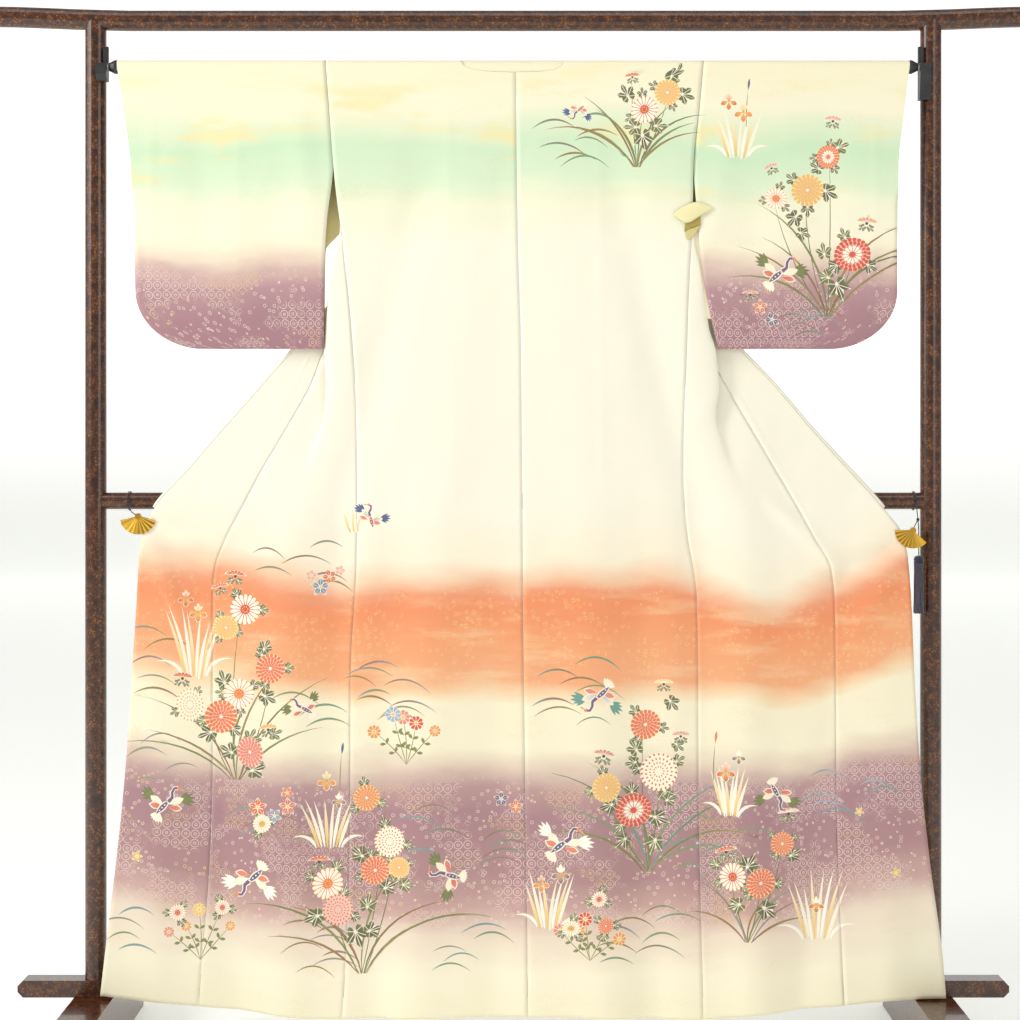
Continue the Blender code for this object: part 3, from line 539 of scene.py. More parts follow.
# Creases of the sleeves, as distances from the stand's middle
SLEEVE_CREASES = (
    ((598, 1600), (594, 1240), 5, -0.9),
    ((452, 1600), (456, 1180), 6, -0.6),
    ((310, 1412), (620, 1420), 6, -0.5),
    ((360, 1600), (330, 1330), 22, -2.2),
    ((520, 1610), (505, 1290), 30, 2.0),
    ((585, 1330), (560, 1180), 26, -1.8),
    ((400, 1420), (390, 1180), 28, 1.9),
)
# The far layer hangs slack beside the body: heights where this starts, is most, and
# has ended again, and how far it reaches in under the underarm's gap
LINING_SHOWS = (1325.0, 1362.0, 1372.0, 1466.0)
SLACK_MOST = 24.0


def sleeve_surface(side, t, along):
    """Two layers that close on each other with a round edge where they are sewn."""
    height = height_at(along)
    inner, outer = sleeve_edges(side, height)
    face = np.sign(along)
    slack = ease(LINING_SHOWS[0], LINING_SHOWS[1], height) * ease(*LINING_SHOWS[3:1:-1], height)
    inner = inner - side * SLACK_MOST * slack * (face > 0)
    x = inner + (outer - inner) * t
    place = over_rod(x, along)
    middle = between(SLEEVE_DEPTHS, 1, height)
    half = between(SLEEVE_DEPTHS, 2, height)
    from_edge = np.minimum(np.abs(outer - x), height - SLEEVE_BOTTOM)
    near = np.clip(from_edge / SLEEVE_EDGE_ROUND, 0, 1)
    sewn = np.sqrt(1 - (1 - near) ** 2)
    cuff = ease(CUFF_CLOSED_Z, CUFF_OPEN_Z, height)
    hang = ease(1615.0, 1480.0, height) * ease(0.0, 30.0, from_edge)
    soft = 0.7 * waves(x, height * 0.6 + 90 * face, 8, 120.0)
    soft = soft + 0.25 * waves(x, height + 40 * face, 9, 42.0)
    for line in SLEEVE_CREASES:
        soft = soft + ridge(np.abs(x), height, *line)
    y = middle + face * half * (sewn * (1 - cuff) + cuff) + hang * soft
    hung = np.stack([x, y, height], axis=-1)
    return np.where((np.abs(along) > ARC)[:, None], hung, place)


# %% [markdown]
# ## From cloth coordinates to meshes
# A panel's mesh is a triangulated sheet. Its points are an even grid and, where the
# cloth is painted, the outlines of the painted shapes, so a petal's edge is a real
# edge in the mesh and stays crisp at any distance. An image would blur, and a grid
# alone would give saw-toothed petals. Solidify then gives the sheet its thickness,
# with the lining's colour on its inner side.

# %% Meshes, attributes and shells


def new_mesh(name, points, faces):
    """A mesh from an array of points in millimetres and rows of point numbers."""
    mesh = bpy.data.meshes.new(name)
    faces = np.asarray(faces)
    mesh.vertices.add(len(points))
    mesh.vertices.foreach_set("co", (points * MM).astype(np.float32).ravel())
    mesh.loops.add(faces.size)
    mesh.loops.foreach_set("vertex_index", faces.astype(np.int32).ravel())
    mesh.polygons.add(len(faces))
    starts = np.arange(len(faces), dtype=np.int32) * faces.shape[1]
    mesh.polygons.foreach_set("loop_start", starts)
    mesh.update(calc_edges=True)
    mesh.validate()
    mesh.shade_smooth()
    return mesh


def new_piece(name, mesh, *materials):
    piece = bpy.data.objects.new(name, mesh)
    bpy.context.scene.collection.objects.link(piece)
    for material in materials:
        mesh.materials.append(material)
    return piece


def set_uv(mesh, name, flat):
    """A UV layer, in metres of cloth, from one pair for each point."""
    layer = mesh.uv_layers.new(name=name)
    corners = np.empty(len(mesh.loops), np.int32)
    mesh.loops.foreach_get("vertex_index", corners)
    layer.uv.foreach_set("vector", (flat[corners] * MM).astype(np.float32).ravel())


def set_point_value(mesh, name, values):
    layer = mesh.attributes.new(name, "FLOAT", "POINT")
    layer.data.foreach_set("value", np.asarray(values, np.float32))


def set_corner_colour(mesh, name, colours):
    layer = mesh.attributes.new(name, "FLOAT_COLOR", "CORNER")
    layer.data.foreach_set("color", np.asarray(colours, np.float32).ravel())


def give_thickness(piece, thickness, lining=0):
    step = piece.modifiers.new("thickness", "SOLIDIFY")
    step.thickness = thickness * MM
    step.offset = 0.0
    step.material_offset = lining
    step.use_quality_normals = True
    return step


def even(low, high, step):
    """Evenly spaced values from low to high, about a step apart."""
    return np.linspace(low, high, max(2, int(round(abs(high - low) / step)) + 1))


def cut_grid(across, down):
    """All points of a grid, as pairs of cloth coordinates."""
    a, b = np.meshgrid(across, down)
    return np.stack([a.ravel(), b.ravel()], axis=-1)


def ring_area(ring):
    """Area inside an outline: the sum of (x y' - y x') / 2 over its points and the
    next ones, above zero when it runs counter-clockwise."""
    x, y = np.asarray(ring, float).T
    return float(np.sum(x * np.roll(y, -1) - y * np.roll(x, -1))) / 2


def winding(shape):
    """1 if an outline runs counter-clockwise, else -1."""
    return 1 if ring_area(shape) > 0 else -1


def cut_block(points, low, high, shapes, ways):
    """Delaunay triangles of one block of a panel with its painted shapes cut in, and
    the number of the topmost shape over each triangle, or -1."""
    border = np.array([low, (high[0], low[1]), high, (low[0], high[1])])
    near = [
        i
        for i, shape in enumerate(shapes)
        if shape[:, 1].max() > low[1] and shape[:, 1].min() < high[1]
    ]
    count = len(points) + 4
    blocks, faces = [points, border], [list(range(len(points), count))]
    for i in near:
        blocks.append(shapes[i])
        faces.append(list(range(count, count + len(shapes[i]))))
        count += len(shapes[i])
    faces = [face if way > 0 else face[::-1] for face, way in zip(faces, [1, *ways[near]])]
    made = delaunay_2d_cdt([Vector(p) for p in np.concatenate(blocks).tolist()], [], faces, 1, 1e-4)
    flat = np.array([tuple(point) for point in made[0]])
    kept = [i for i, held in enumerate(made[5]) if 0 in held]
    top = np.array([max(made[5][i]) - 1 for i in kept])
    order = np.array([-1, *near])
    return flat, np.array([made[2][i] for i in kept]), order[top + 1]


def triangulate(across, down, shapes, rows=9):
    """A panel's triangles, block by block down its length. Blocks meet on the grid's
    own rows, so their shared points fall together."""
    flats, triangles, tops, count = [], [], [], 0
    ways = np.array([winding(shape) for shape in shapes], int)
    for first in range(0, len(down) - 1, rows):
        part = down[first : first + rows + 1]
        low, high = np.array([across[0], part[0]]), np.array([across[-1], part[-1]])
        flat, made, top = cut_block(cut_grid(across, part), low, high, shapes, ways)
        flats.append(flat)
        triangles.append(made + count)
        tops.append(top)
        count += len(flat)
    flat, triangles = np.concatenate(flats), np.concatenate(triangles)
    _, one, same = np.unique(np.round(flat, 2), axis=0, return_index=True, return_inverse=True)
    triangles, top = same.reshape(-1)[triangles], np.concatenate(tops)
    corners = np.sort(triangles, axis=1)
    whole = (corners[:, 0] != corners[:, 1]) & (corners[:, 1] != corners[:, 2])
    return flat[one], triangles[whole], top[whole]


# %% [markdown]
# ## Where the paint lies
# The design is drawn in the plane of the photograph, across and height in
# millimetres, because it flows over the seams there. For each panel it is carried
# into cloth coordinates. On the back, the okumi and the sleeves that is a straight
# proportion. On the fronts, x rises steadily from the side seam to the okumi seam
# wherever the paint lies, so the place across the strip is found by halving.

# %% From the photo's plane to cloth coordinates
BODY_WIDE = 280.0
OKUMI_WIDE = 150.0
SLEEVE_WIDE = 330.0


def to_back(side, design):
    x, height = design[:, 0], from_hem(design[:, 0], design[:, 1])
    outer, inner = back_edges(side, height)
    return np.stack([(x - outer) / (inner - outer), -along_at(height)], axis=-1)


def to_front(side, design):
    x, height = design[:, 0], from_hem(design[:, 0], design[:, 1])
    low, high = np.full(len(x), -0.4), np.full(len(x), 1.4)
    for _ in range(40):
        middle = (low + high) / 2
        here = front_across(side, np.clip(middle, 0, 1), height)
        beyond = side * (here[2] - here[1]) * (middle - np.clip(middle, 0, 1))
        past = side * here[0] + beyond > side * x
        high, low = np.where(past, middle, high), np.where(past, low, middle)
    return np.stack([low, along_at(height)], axis=-1)


def to_okumi(side, design):
    x, height = design[:, 0], from_hem(design[:, 0], design[:, 1])
    inner, outer = okumi_edges(side, height)
    wide = np.where(np.abs(outer - inner) > 5.0, outer - inner, side * 5.0)
    return np.stack([(x - inner) / wide, along_at(height)], axis=-1)


def to_sleeve(side, design):
    x, height = design[:, 0], design[:, 1]
    inner, outer = sleeve_edges(side, np.maximum(height, SLEEVE_BOTTOM + 1.0))
    return np.stack([(x - inner) / (outer - inner), -along_at(height)], axis=-1)


def corner_colours(points, triangles, top, pieces):
    """Each corner's paint: root + (tip - root) d / reach, for its distance d from the
    shape's middle. Bare cloth has an alpha of 0."""
    paint = np.zeros((len(triangles), 3, 4))
    if not pieces:
        return paint
    root, tip, middle = (np.array([shape[i] for shape in pieces]) for i in (1, 2, 3))
    reach = np.array([shape[4] for shape in pieces])
    painted = top >= 0
    number = top[painted]
    corners = points[triangles[painted]][:, :, (0, 2)]
    far = np.linalg.norm(corners - middle[number][:, None], axis=-1)
    part = np.clip(far / reach[number][:, None], 0, 1)[..., None]
    paint[painted] = root[number][:, None] * (1 - part) + tip[number][:, None] * part
    return paint


def panel(name, surface, side, across, down, wide, pieces, dye, finishes, turned=1):
    """One panel: its grid, its share of the painted shapes, its surface in space, its
    dye heights and its UV in metres of cloth. Turned 1 or -1 says which way is out."""
    low, high = np.array([0.0, down[0]]), np.array([wide, down[-1]])
    cut = [shape[0] * (wide, 1.0) for shape in pieces]
    inside = [np.all(c.max(axis=0) > low) and np.all(c.min(axis=0) < high) for c in cut]
    shapes = [c for c, kept in zip(cut, inside) if kept]
    pieces = [shape for shape, kept in zip(pieces, inside) if kept]
    flat, triangles, top = triangulate(across * wide, down, shapes)
    t, along = flat[:, 0] / wide, flat[:, 1]
    points = surface(side, t, along)
    if side * turned < 0:
        triangles = triangles[:, ::-1]
    mesh = new_mesh(name, points, triangles)
    set_uv(mesh, "cloth", flat + (700.0 * side + 2.0 * wide, ROD_Z))
    set_point_value(mesh, "dye", dye(side, t, along, points))
    set_corner_colour(mesh, "paint", corner_colours(points, triangles, top, pieces))
    piece = new_piece(name, mesh, *finishes)
    print(name, len(mesh.polygons), "triangles,", len(shapes), "painted shapes")
    return piece


# %% [markdown]
# ## The painted design
# The paint is an autumn field in the yuzen manner: chrysanthemums, bellflowers,
# irises, arching grass and flying cranes. Most flowers, leaves and birds lie on a
# lighter ground that stays bare as a fine outline, where the real resist line is. A
# motif is built from a few small outlines that are turned, scaled and repeated. Every
# shape is its outline in millimetres, the colour at its root, the colour at its tip,
# and the point and reach that the change runs over.

# %% Colours of the paint


def linear(code):
    """An sRGB hex code as linear red, green, blue and 1:
    ((c + 0.055) / 1.055) ^ 2.4 above 0.04045, else c / 12.92."""
    parts = [int(code[i : i + 2], 16) / 255 for i in (1, 3, 5)]
    made = [c / 12.92 if c <= 0.04045 else ((c + 0.055) / 1.055) ** 2.4 for c in parts]
    return (*made, 1.0)


PAINT = {
    "line": linear("#FBF3D8"),
    "gold": linear("#D9A94A"),
    "cream": linear("#FFF6DC"),
    "white": linear("#FFFDF2"),
    "yellow": linear("#F3C65A"),
    "amber": linear("#EE9B3F"),
    "orange": linear("#EF7A3C"),
    "red": linear("#D9472F"),
    "rose": linear("#E98676"),
    "pink": linear("#F4C4B4"),
    "blue": linear("#3D568F"),
    "sky": linear("#9FB6CF"),
    "purple": linear("#6B4A86"),
    "teal": linear("#5E9A8E"),
    "green": linear("#34482F"),
    "olive": linear("#8C8F4A"),
    "moss": linear("#66713A"),
    "rust": linear("#9A5A3A"),
    "ink": linear("#2B2730"),
    "grey": linear("#8E93A0"),
}

SHAPES = []


def turned_points(points, at, turn, size):
    """Points turned by an angle in degrees, scaled and moved."""
    angle = math.radians(turn)
    c, s = math.cos(angle), math.sin(angle)
    points = np.asarray(points, float)
    x = size * (points[:, 0] * c - points[:, 1] * s) + at[0]
    z = size * (points[:, 0] * s + points[:, 1] * c) + at[1]
    return np.stack([x, z], axis=-1)


def paint(points, at, turn, size, root, tip=None, reach=None, centre=None):
    shape = turned_points(points, at, turn, size)
    middle = np.array(at if centre is None else centre, float)
    far = float(np.linalg.norm(shape - middle, axis=1).max()) if reach is None else reach
    SHAPES.append((shape, PAINT[root], PAINT[tip or root], middle, far))


# %% Outlines that motifs are built from


def leaf_outline(blunt=0.5, wide=0.2, count=8):
    """A leaf or petal from (0, 0) to (1, 0): half width is the wide value times
    sin(pi s^(1 + blunt)), fullest past the middle when blunt is large."""
    s = np.linspace(0, 1, count)
    half = wide * np.sin(math.pi * s ** (1 + blunt))
    top = np.stack([s, half], axis=-1)
    return np.concatenate([top, top[-2:0:-1] * (1, -1)])


def round_outline(count=12):
    turns = np.linspace(0, 2 * math.pi, count, endpoint=False)
    return np.stack([np.cos(turns), np.sin(turns)], axis=-1)


def scalloped(count, deep, start=0.0):
    """A disc with a scalloped rim: r = 1 - deep (1 - cos(count (turn - start))) / 2."""
    turns = np.linspace(0, 2 * math.pi, count * 4, endpoint=False)
    far = 1 - deep * (1 - np.cos(count * (turns - math.radians(start)))) / 2
    return np.stack([far * np.cos(turns), far * np.sin(turns)], axis=-1)


def ray(near, far, share, point=0.0):
    """One petal of a ring, between two distances from the middle, that fills its
    share (a tangent) of the way round. Point 0 has a round end, 1 a sharp one."""
    run = far - near
    bow = share * (far - 0.16 * run)
    side = [
        (near, 0.55 * share * near),
        (near + 0.3 * run, 0.86 * share * (near + 0.3 * run)),
        (near + 0.66 * run, share * (near + 0.66 * run) * (1 - 0.12 * point)),
        (near + 0.9 * run, bow * (0.78 - 0.45 * point)),
    ]
    side = np.array(side)
    return np.concatenate([side, [(far, 0.0)], side[::-1] * (1, -1)])


def paint_ring(at, size, turn, flat, ring, root, tip, full=0.88):
    """A ring of petals that don't touch. Ring is (count, near, far, start, point), and
    full is the part of its share that each petal fills."""
    count, near, far, start, point = ring
    shape = ray(near, far, full * math.tan(math.pi / count), point)
    for k in range(count):
        petal = turned_points(shape, (0, 0), start + 360 * k / count, 1.0) * (1, flat)
        paint(petal, at, turn, size, root, tip, reach=size * far, centre=at)


# %% Flowers, leaves, grass and cranes
FULL_RINGS = ((20, 0.74, 0.98, 0), (18, 0.52, 0.75, 9), (15, 0.32, 0.53, 3), (9, 0.12, 0.33, 7))


def chrysanthemum(at, size, root, tip, turn=0.0, flat=1.0):
    """Four crowded rings of petals, light only at the rim and between the petals."""
    paint(scalloped(20, 0.06) * (1, flat), at, turn, size, "line")
    paint(round_outline(20) * (1, flat), at, turn, size * 0.8, "pink" if root != "cream" else "yellow")
    for count, near, far, start in FULL_RINGS:
        paint_ring(at, size, turn, flat, (count, near, far, start, 0.2), root, tip)
    paint(round_outline(8) * (1, flat), at, turn, size * 0.1, "line")


def dotted_chrysanthemum(at, size, root, tip, turn=0.0, flat=1.0):
    """A round pale flower whose petals show only as rings of small dashes."""
    paint(scalloped(24, 0.08) * (1, flat), at, turn, size, tip)
    for count, near, far, start in FULL_RINGS:
        ring = (count + 3, near + 0.4 * (far - near), far - 0.02, start, 1.0)
        paint_ring(at, size, turn, flat, ring, root, root, 0.45)


def open_chrysanthemum(at, size, root, tip, turn=0.0, flat=1.0):
    """A flat open flower: light petals with coloured gaps round a coloured heart."""
    paint(scalloped(18, 0.1) * (1, flat), at, turn, size, root)
    paint_ring(at, size, turn, flat, (18, 0.3, 0.99, 0, 0.0), "white", tip)
    paint(round_outline(12) * (1, flat), at, turn, size * 0.28, root)
    for k in range(7):
        spot = turned_points([(0.17 * size, 0)], at, 360 / 7 * k + turn, 1.0)[0]
        paint(round_outline(6), spot, 0, size * 0.045, "yellow")


def ringed_chrysanthemum(at, size, root, tip, turn=0.0, flat=1.0):
    """Two rings of coloured petals round a pale open heart."""
    paint(scalloped(22, 0.05) * (1, flat), at, turn, size, "pink")
    for ring in ((22, 0.77, 0.99, 0, 0.2), (20, 0.57, 0.78, 8, 0.2)):
        paint_ring(at, size, turn, flat, ring, root, root)
    paint(round_outline(18) * (1, flat), at, turn, size * 0.56, root, "rose")
    paint_ring(at, size, turn, flat, (13, 0.18, 0.54, 5, 0.1), "white", tip)
    paint(round_outline(8) * (1, flat), at, turn, size * 0.13, root)


KINDS = {
    "full": chrysanthemum,
    "dots": dotted_chrysanthemum,
    "open": open_chrysanthemum,
    "ring": ringed_chrysanthemum,
}


CAP_FLAT = 0.42


def chrysanthemum_bud(at, size, turn, root, tip):
    """A half-open flower seen from its side: a flat cap of petals on a dark cup, with
    two small leaves below."""
    lean = turn - 90
    for side, tone in ((-1, "green"), (1, "ink")):
        foot = turned_points([(side * 0.42 * size, -0.62 * size)], at, lean, 1.0)[0]
        chrysanthemum_leaf(foot, size * 0.62, lean - 90 + side * 50, tone)
    cap = round_outline(24)[:13] * (1, CAP_FLAT)
    paint(cap * 1.08 - (0, 0.04), at, lean, size, "line")
    for k in range(7):
        petal = turned_points(ray(0.1, 0.99, 0.21, 0.2), (0, 0), 13 + 25.6 * k, 1.0)
        paint(petal * (1, CAP_FLAT), at, lean, size, tip, root)
    cup = turned_points([(0, -0.16 * size)], at, lean, 1.0)[0]
    paint(round_outline(8), cup, 0, size * 0.15, "ink")


# Direction and length of a chrysanthemum leaf's lobes and of the notches between them
LEAF_EDGE = ((-155, 0.14), (-112, 0.56), (-80, 0.34), (-52, 0.84), (-26, 0.5), (0, 1.04))
# Direction, length and half width of each lobe
LOBES = ((0, 1.0, 0.26), (52, 0.8, 0.3), (-52, 0.8, 0.3), (112, 0.52, 0.42), (-112, 0.52, 0.42))


def chrysanthemum_leaf(at, size, turn, colour="green", line="line"):
    """Five dark lobes, split by a light vein, on a light ground that outlines them."""
    edge = [*LEAF_EDGE, *[(-angle, far) for angle, far in reversed(LEAF_EDGE[:-1])]]
    turns = np.radians([angle for angle, _ in edge])
    far = np.array([far for _, far in edge])
    star = np.stack([far * np.cos(turns) - 0.25, far * np.sin(turns)], axis=-1)
    paint(star, at, turn, size, line)
    for angle, long, share in LOBES:
        for half in (-1, 1):
            lobe = [(0.07, 0.02), (0.36 * long, share * 0.44), (0.68 * long, share * 0.62)]
            lobe = np.array([*lobe, (0.94 * long, 0.02)]) * (1, half)
            lobe = turned_points(lobe, (-0.25, 0), angle, 1.0)
            paint(lobe, at, turn, size, colour, "moss")


def leaves_round(at, size, seed, count=3):
    """Leaves that look out from behind a flower."""
    random = np.random.default_rng(seed)
    first = random.uniform(0, 360)
    long = max(0.62 * size, 13.0)
    for k in range(count):
        turn = first + 360 * k / count + random.uniform(-20, 20)
        spot = turned_points([(size * 0.96 + 0.3 * long, 0)], at, turn, 1.0)[0]
        tone = ("green", "ink", "moss")[k % 3]
        chrysanthemum_leaf(spot, long * random.uniform(0.9, 1.15), turn, tone)


def bellflower(at, size, turn, root, tip):
    """Five pointed petals round a small star."""
    paint(scalloped(5, 0.5), at, turn, size * 1.04, "line")
    for k in range(5):
        for half in (-1, 1):
            petal = np.array([(0.14, 0.02), (0.4, 0.24), (0.62, 0.26), (0.92, 0.02)])
            petal = turned_points(petal * (1, half), (0, 0), 72 * k, 1.0)
            paint(petal[::half], at, turn, size, root, tip, reach=size, centre=at)
    paint(round_outline(6), at, 0, size * 0.12, "yellow")


def iris(at, size, turn, fall, stand):
    """Three hanging falls with a yellow blaze and three upright petals."""
    for angle, long in ((90, 0.9), (58, 0.72), (122, 0.72)):
        paint(leaf_outline(0.4, 0.2), at, turn + angle, size * long, stand, "cream")
    for angle, long in ((-90, 0.95), (-24, 0.9), (-156, 0.9)):
        paint(leaf_outline(0.6, 0.3), at, turn + angle, size * long * 1.06, "line")
        paint(leaf_outline(0.6, 0.25), at, turn + angle, size * long, "yellow", fall)
    paint(round_outline(8), at, 0, size * 0.12, "gold")


def stroke(start, turn, long, bend, thick, root, tip=None, count=8):
    """A brush stroke: it leaves at an angle, turns by the bend in all, and its width
    swells from nothing to the thick value and back."""
    s = np.linspace(0, 1, count)
    angle = np.radians(turn + bend * s)
    step = long / (count - 1)
    x = start[0] + np.concatenate([[0], np.cumsum(np.cos(angle[:-1]))]) * step
    z = start[1] + np.concatenate([[0], np.cumsum(np.sin(angle[:-1]))]) * step
    half = thick / 2 * np.sin(math.pi * np.clip(s, 0.04, 1) ** 0.7) + 0.12
    side = np.stack([-np.sin(angle), np.cos(angle)], axis=-1) * half[:, None]
    line = np.stack([x, z], axis=-1)
    shape = np.concatenate([line + side, (line - side)[::-1]])
    SHAPES.append((shape, PAINT[root], PAINT[tip or root], np.array(start, float), long))
    return line[-1]


def grass(at, spread, long, tones, seed, count=7, lean=90, thick=3.4):
    """A tuft of long blades that arch over to both sides."""
    random = np.random.default_rng(seed)
    for k in range(count):
        part = k / max(count - 1, 1) - 0.5
        turn = lean - spread * part + random.uniform(-6, 6)
        bend = -math.copysign(random.uniform(40, 85), part)
        reach = long * random.uniform(0.7, 1.1)
        foot = (at[0] + 9 * part + random.uniform(-3, 3), at[1])
        tone, end = tones[k % len(tones)], tones[(k + 1) % len(tones)]
        stroke(foot, turn, reach, bend, thick * random.uniform(0.75, 1.2), tone, end, 10)


def sword_leaves(foot, high, wide, seed, count=10):
    """Stiff, nearly upright iris leaves in a narrow fan, the outer ones bent over."""
    random = np.random.default_rng(seed)
    for k in range(count):
        part = 2 * k / (count - 1) - 1
        start = (foot[0] + 0.3 * wide * part, foot[1] + random.uniform(-3, 3))
        outer = abs(part) > 0.9
        turn = 90 - math.degrees(math.atan(0.55 * wide * part / high))
        bend = -math.copysign(95 if outer else random.uniform(2, 14), part)
        long = high * (0.5 if outer else random.uniform(0.78, 1.04))
        tone = ("white", "yellow", "cream")[k % 3]
        stroke(start, turn, long, bend, 5.4, tone, ("cream", "line")[k % 2], 9)


def blade(start, end, rise, tone, tip, thick=3.2, count=11):
    """One arching blade from start to end: straight between them plus the rise times
    4 s (1 - s) upwards, pointed at both ends and thickest a little before its middle."""
    s = np.linspace(0, 1, count)
    start, end = np.array(start, float), np.array(end, float)
    line = start + (end - start) * s[:, None]
    line[:, 1] += 4 * rise * s * (1 - s)
    run = np.gradient(line, axis=0)
    side = np.stack([-run[:, 1], run[:, 0]], axis=-1) / np.linalg.norm(run, axis=1)[:, None]
    half = (thick / 2 * np.sin(math.pi * s**0.85) + 0.15)[:, None]
    shape = np.concatenate([line + side * half, (line - side * half)[::-1]])
    long = float(np.linalg.norm(end - start))
    SHAPES.append((shape, PAINT[tone], PAINT[tip], start, long))


def blades(at, wide, tall, count, tones, seed):
    """A patch of wind-laid blades, each crossing the next like low waves."""
    random = np.random.default_rng(seed)
    for k in range(count):
        x = at[0] + wide * random.uniform(-0.5, 0.5)
        z = at[1] + tall * (0.5 - (k + 0.5) / count)
        long = random.uniform(52, 84)
        drop = random.uniform(-14, 6)
        rise = long * random.uniform(0.16, 0.24)
        start, end = (x - long / 2, z - drop / 2), (x + long / 2, z + drop / 2)
        tone, tip = tones[k % len(tones)], tones[(k + 1) % len(tones)]
        blade(start, end, rise, tone, tip, random.uniform(2.2, 3.6))


def stem(start, end, bow, thick=1.5, tone="moss"):
    """A curved stem from one point to another."""
    start, end = np.array(start, float), np.array(end, float)
    run = end - start
    long = float(np.linalg.norm(run))
    turn = math.degrees(math.atan2(run[1], run[0]))
    stroke(start, turn + bow / 2, long * (1 + (bow / 260) ** 2), -bow, thick, tone)


def small_flowers(at, reach, seed, tones, count=5, size=11.0):
    """A little bush: small round flowers over pairs of olive leaves."""
    random = np.random.default_rng(seed)
    for k in range(count):
        turn = 35 + 110 * (k + 0.5) / count + random.uniform(-8, 8)
        long = reach * random.uniform(0.7, 1.0)
        end = stroke(at, turn, long, random.uniform(-18, 18), 1.3, "olive", None, 5)
        way = (end - np.array(at, float)) / long
        for part in (0.35, 0.62):
            for side in (-1, 1):
                foot = np.array(at, float) + way * long * part
                outline_here = leaf_outline(0.2, 0.24, 6)
                paint(outline_here, foot, turn + 55 * side, size * 1.0, "moss", "olive")
        big = size * random.uniform(0.8, 1.25)
        tone = tones[k % len(tones)]
        paint(scalloped(9, 0.12), end, turn, big, "line")
        paint_ring(end, big, turn, 1.0, (9, 0.26, 0.95, 0, 0.1), tone, tone)
        paint(round_outline(8), end, 0, big * 0.2, "yellow")


# A crane's pinions: root, direction of the first, step, how many, length
PINIONS = (((-0.2, 0.13), 120, 15.0, 5, 0.34), ((0.24, 0.09), -24, 15.0, 5, 0.36))
# Its coverts: root, direction, length, half width as a part of it, colours
COVERTS = (
    ((-0.02, -0.02), 144, 0.3, 0.17, "wing", "line"),
    ((-0.03, -0.05), 166, 0.27, 0.19, "breast", "rose"),
    ((0.04, 0.0), 20, 0.3, 0.17, "wing", "line"),
    ((0.05, -0.05), -8, 0.25, 0.19, "breast", "rose"),
)
NECK = ((0.06, 0.06), (0.13, 0.13), (0.13, 0.23), (0.17, 0.31), (0.24, 0.31))
# Named colours of a crane: pinions, wing coverts, breast and back
CRANE_DRESS = {
    "green": ("olive", "cream", "red", "purple"),
    "white": ("white", "white", "orange", "blue"),
    "teal": ("teal", "sky", "rose", "purple"),
    "night": ("blue", "grey", "rose", "red"),
}


def crane(at, size, turn, flip=1, dress="green"):
    """A flying crane: two swept wings of broad coverts and loose pinions, a ruffled
    pale tail, a patterned back and a thin curved neck."""
    pinion, wing, breast, back = CRANE_DRESS[dress]
    named = {"wing": wing, "breast": breast}

    def draw(points, angle, scale, root, tip=None, shift=(0, 0)):
        points = turned_points(points, shift, angle, scale) * (1, flip)
        paint(points, at, turn, size, root, tip)

    for foot, first, step, count, long in PINIONS:
        for k in range(count):
            reach = long * (1 - 0.12 * abs(k - 1.5))
            tip = "moss" if pinion == "olive" else pinion
            draw(leaf_outline(0.1, 0.11, 7), first + step * k, reach, pinion, tip, foot)
    for k in range(6):
        draw(leaf_outline(0.7, 0.17, 6), 196 + 16 * k, 0.2, "white", "cream", (-0.1, -0.15))
    for foot, angle, long, half, root, tip in COVERTS:
        draw(leaf_outline(0.35, half + 0.05), angle, long * 1.1, "line", None, foot)
        draw(leaf_outline(0.35, half), angle, long, named[root], tip, foot)
    draw(leaf_outline(0.0, 0.17), 46, 0.4, "line", None, (-0.19, -0.19))
    draw(leaf_outline(0.0, 0.12), 46, 0.36, back, "purple", (-0.175, -0.175))
    for k in range(4):
        draw(round_outline(6), 0, 0.016, "line", None, (-0.11 + 0.05 * k, -0.11 + 0.052 * k))
    line = np.array(NECK)
    run = np.gradient(line, axis=0)
    side = np.stack([-run[:, 1], run[:, 0]], axis=-1) / np.linalg.norm(run, axis=1)[:, None]
    thick = np.array([0.036, 0.028, 0.024, 0.022, 0.026])[:, None]
    for grow, tone in ((1.7, "line"), (1.0, "purple")):
        neck = np.concatenate([line + side * thick * grow, (line - side * thick * grow)[::-1]])
        draw(neck, 0, 1.0, tone)
    draw(round_outline(8), 0, 0.034, "rose", None, (0.25, 0.31))
    draw(leaf_outline(0.0, 0.14, 6), -28, 0.12, "gold", None, (0.27, 0.3))


# %% [markdown]
# ## Where each motif grows
# The bunches stand where the photograph shows bunches: on the right shoulder, the
# right sleeve, the left front, both sides of the centre seam, and the right front.
# The tables give each motif's place across, height, size and direction. Rows are
# painted in their order, and the loops below the tables go from grass and irises to
# stems, leaves, flowers and cranes.

# %% Tables of the motifs
# Foot of a tuft: across, height, spread, length, blades, lean, colours, seed
COOL = ("grey", "teal", "olive")
GRASS = (
    (-458, 452, 84, 230, 7, 98, ("moss", "olive", "rust"), 11),
    (-250, 132, 76, 230, 8, 92, ("rust", "olive", "moss"), 16),
    (222, 300, 84, 230, 8, 86, ("moss", "olive", "teal"), 18),
    (386, 186, 80, 150, 7, 88, ("rust", "olive", "grey"), 20),
    (204, 1462, 74, 165, 8, 90, ("moss", "olive", "rust"), 22),
    (517, 1216, 70, 240, 8, 90, ("moss", "olive", "rust"), 23),
)
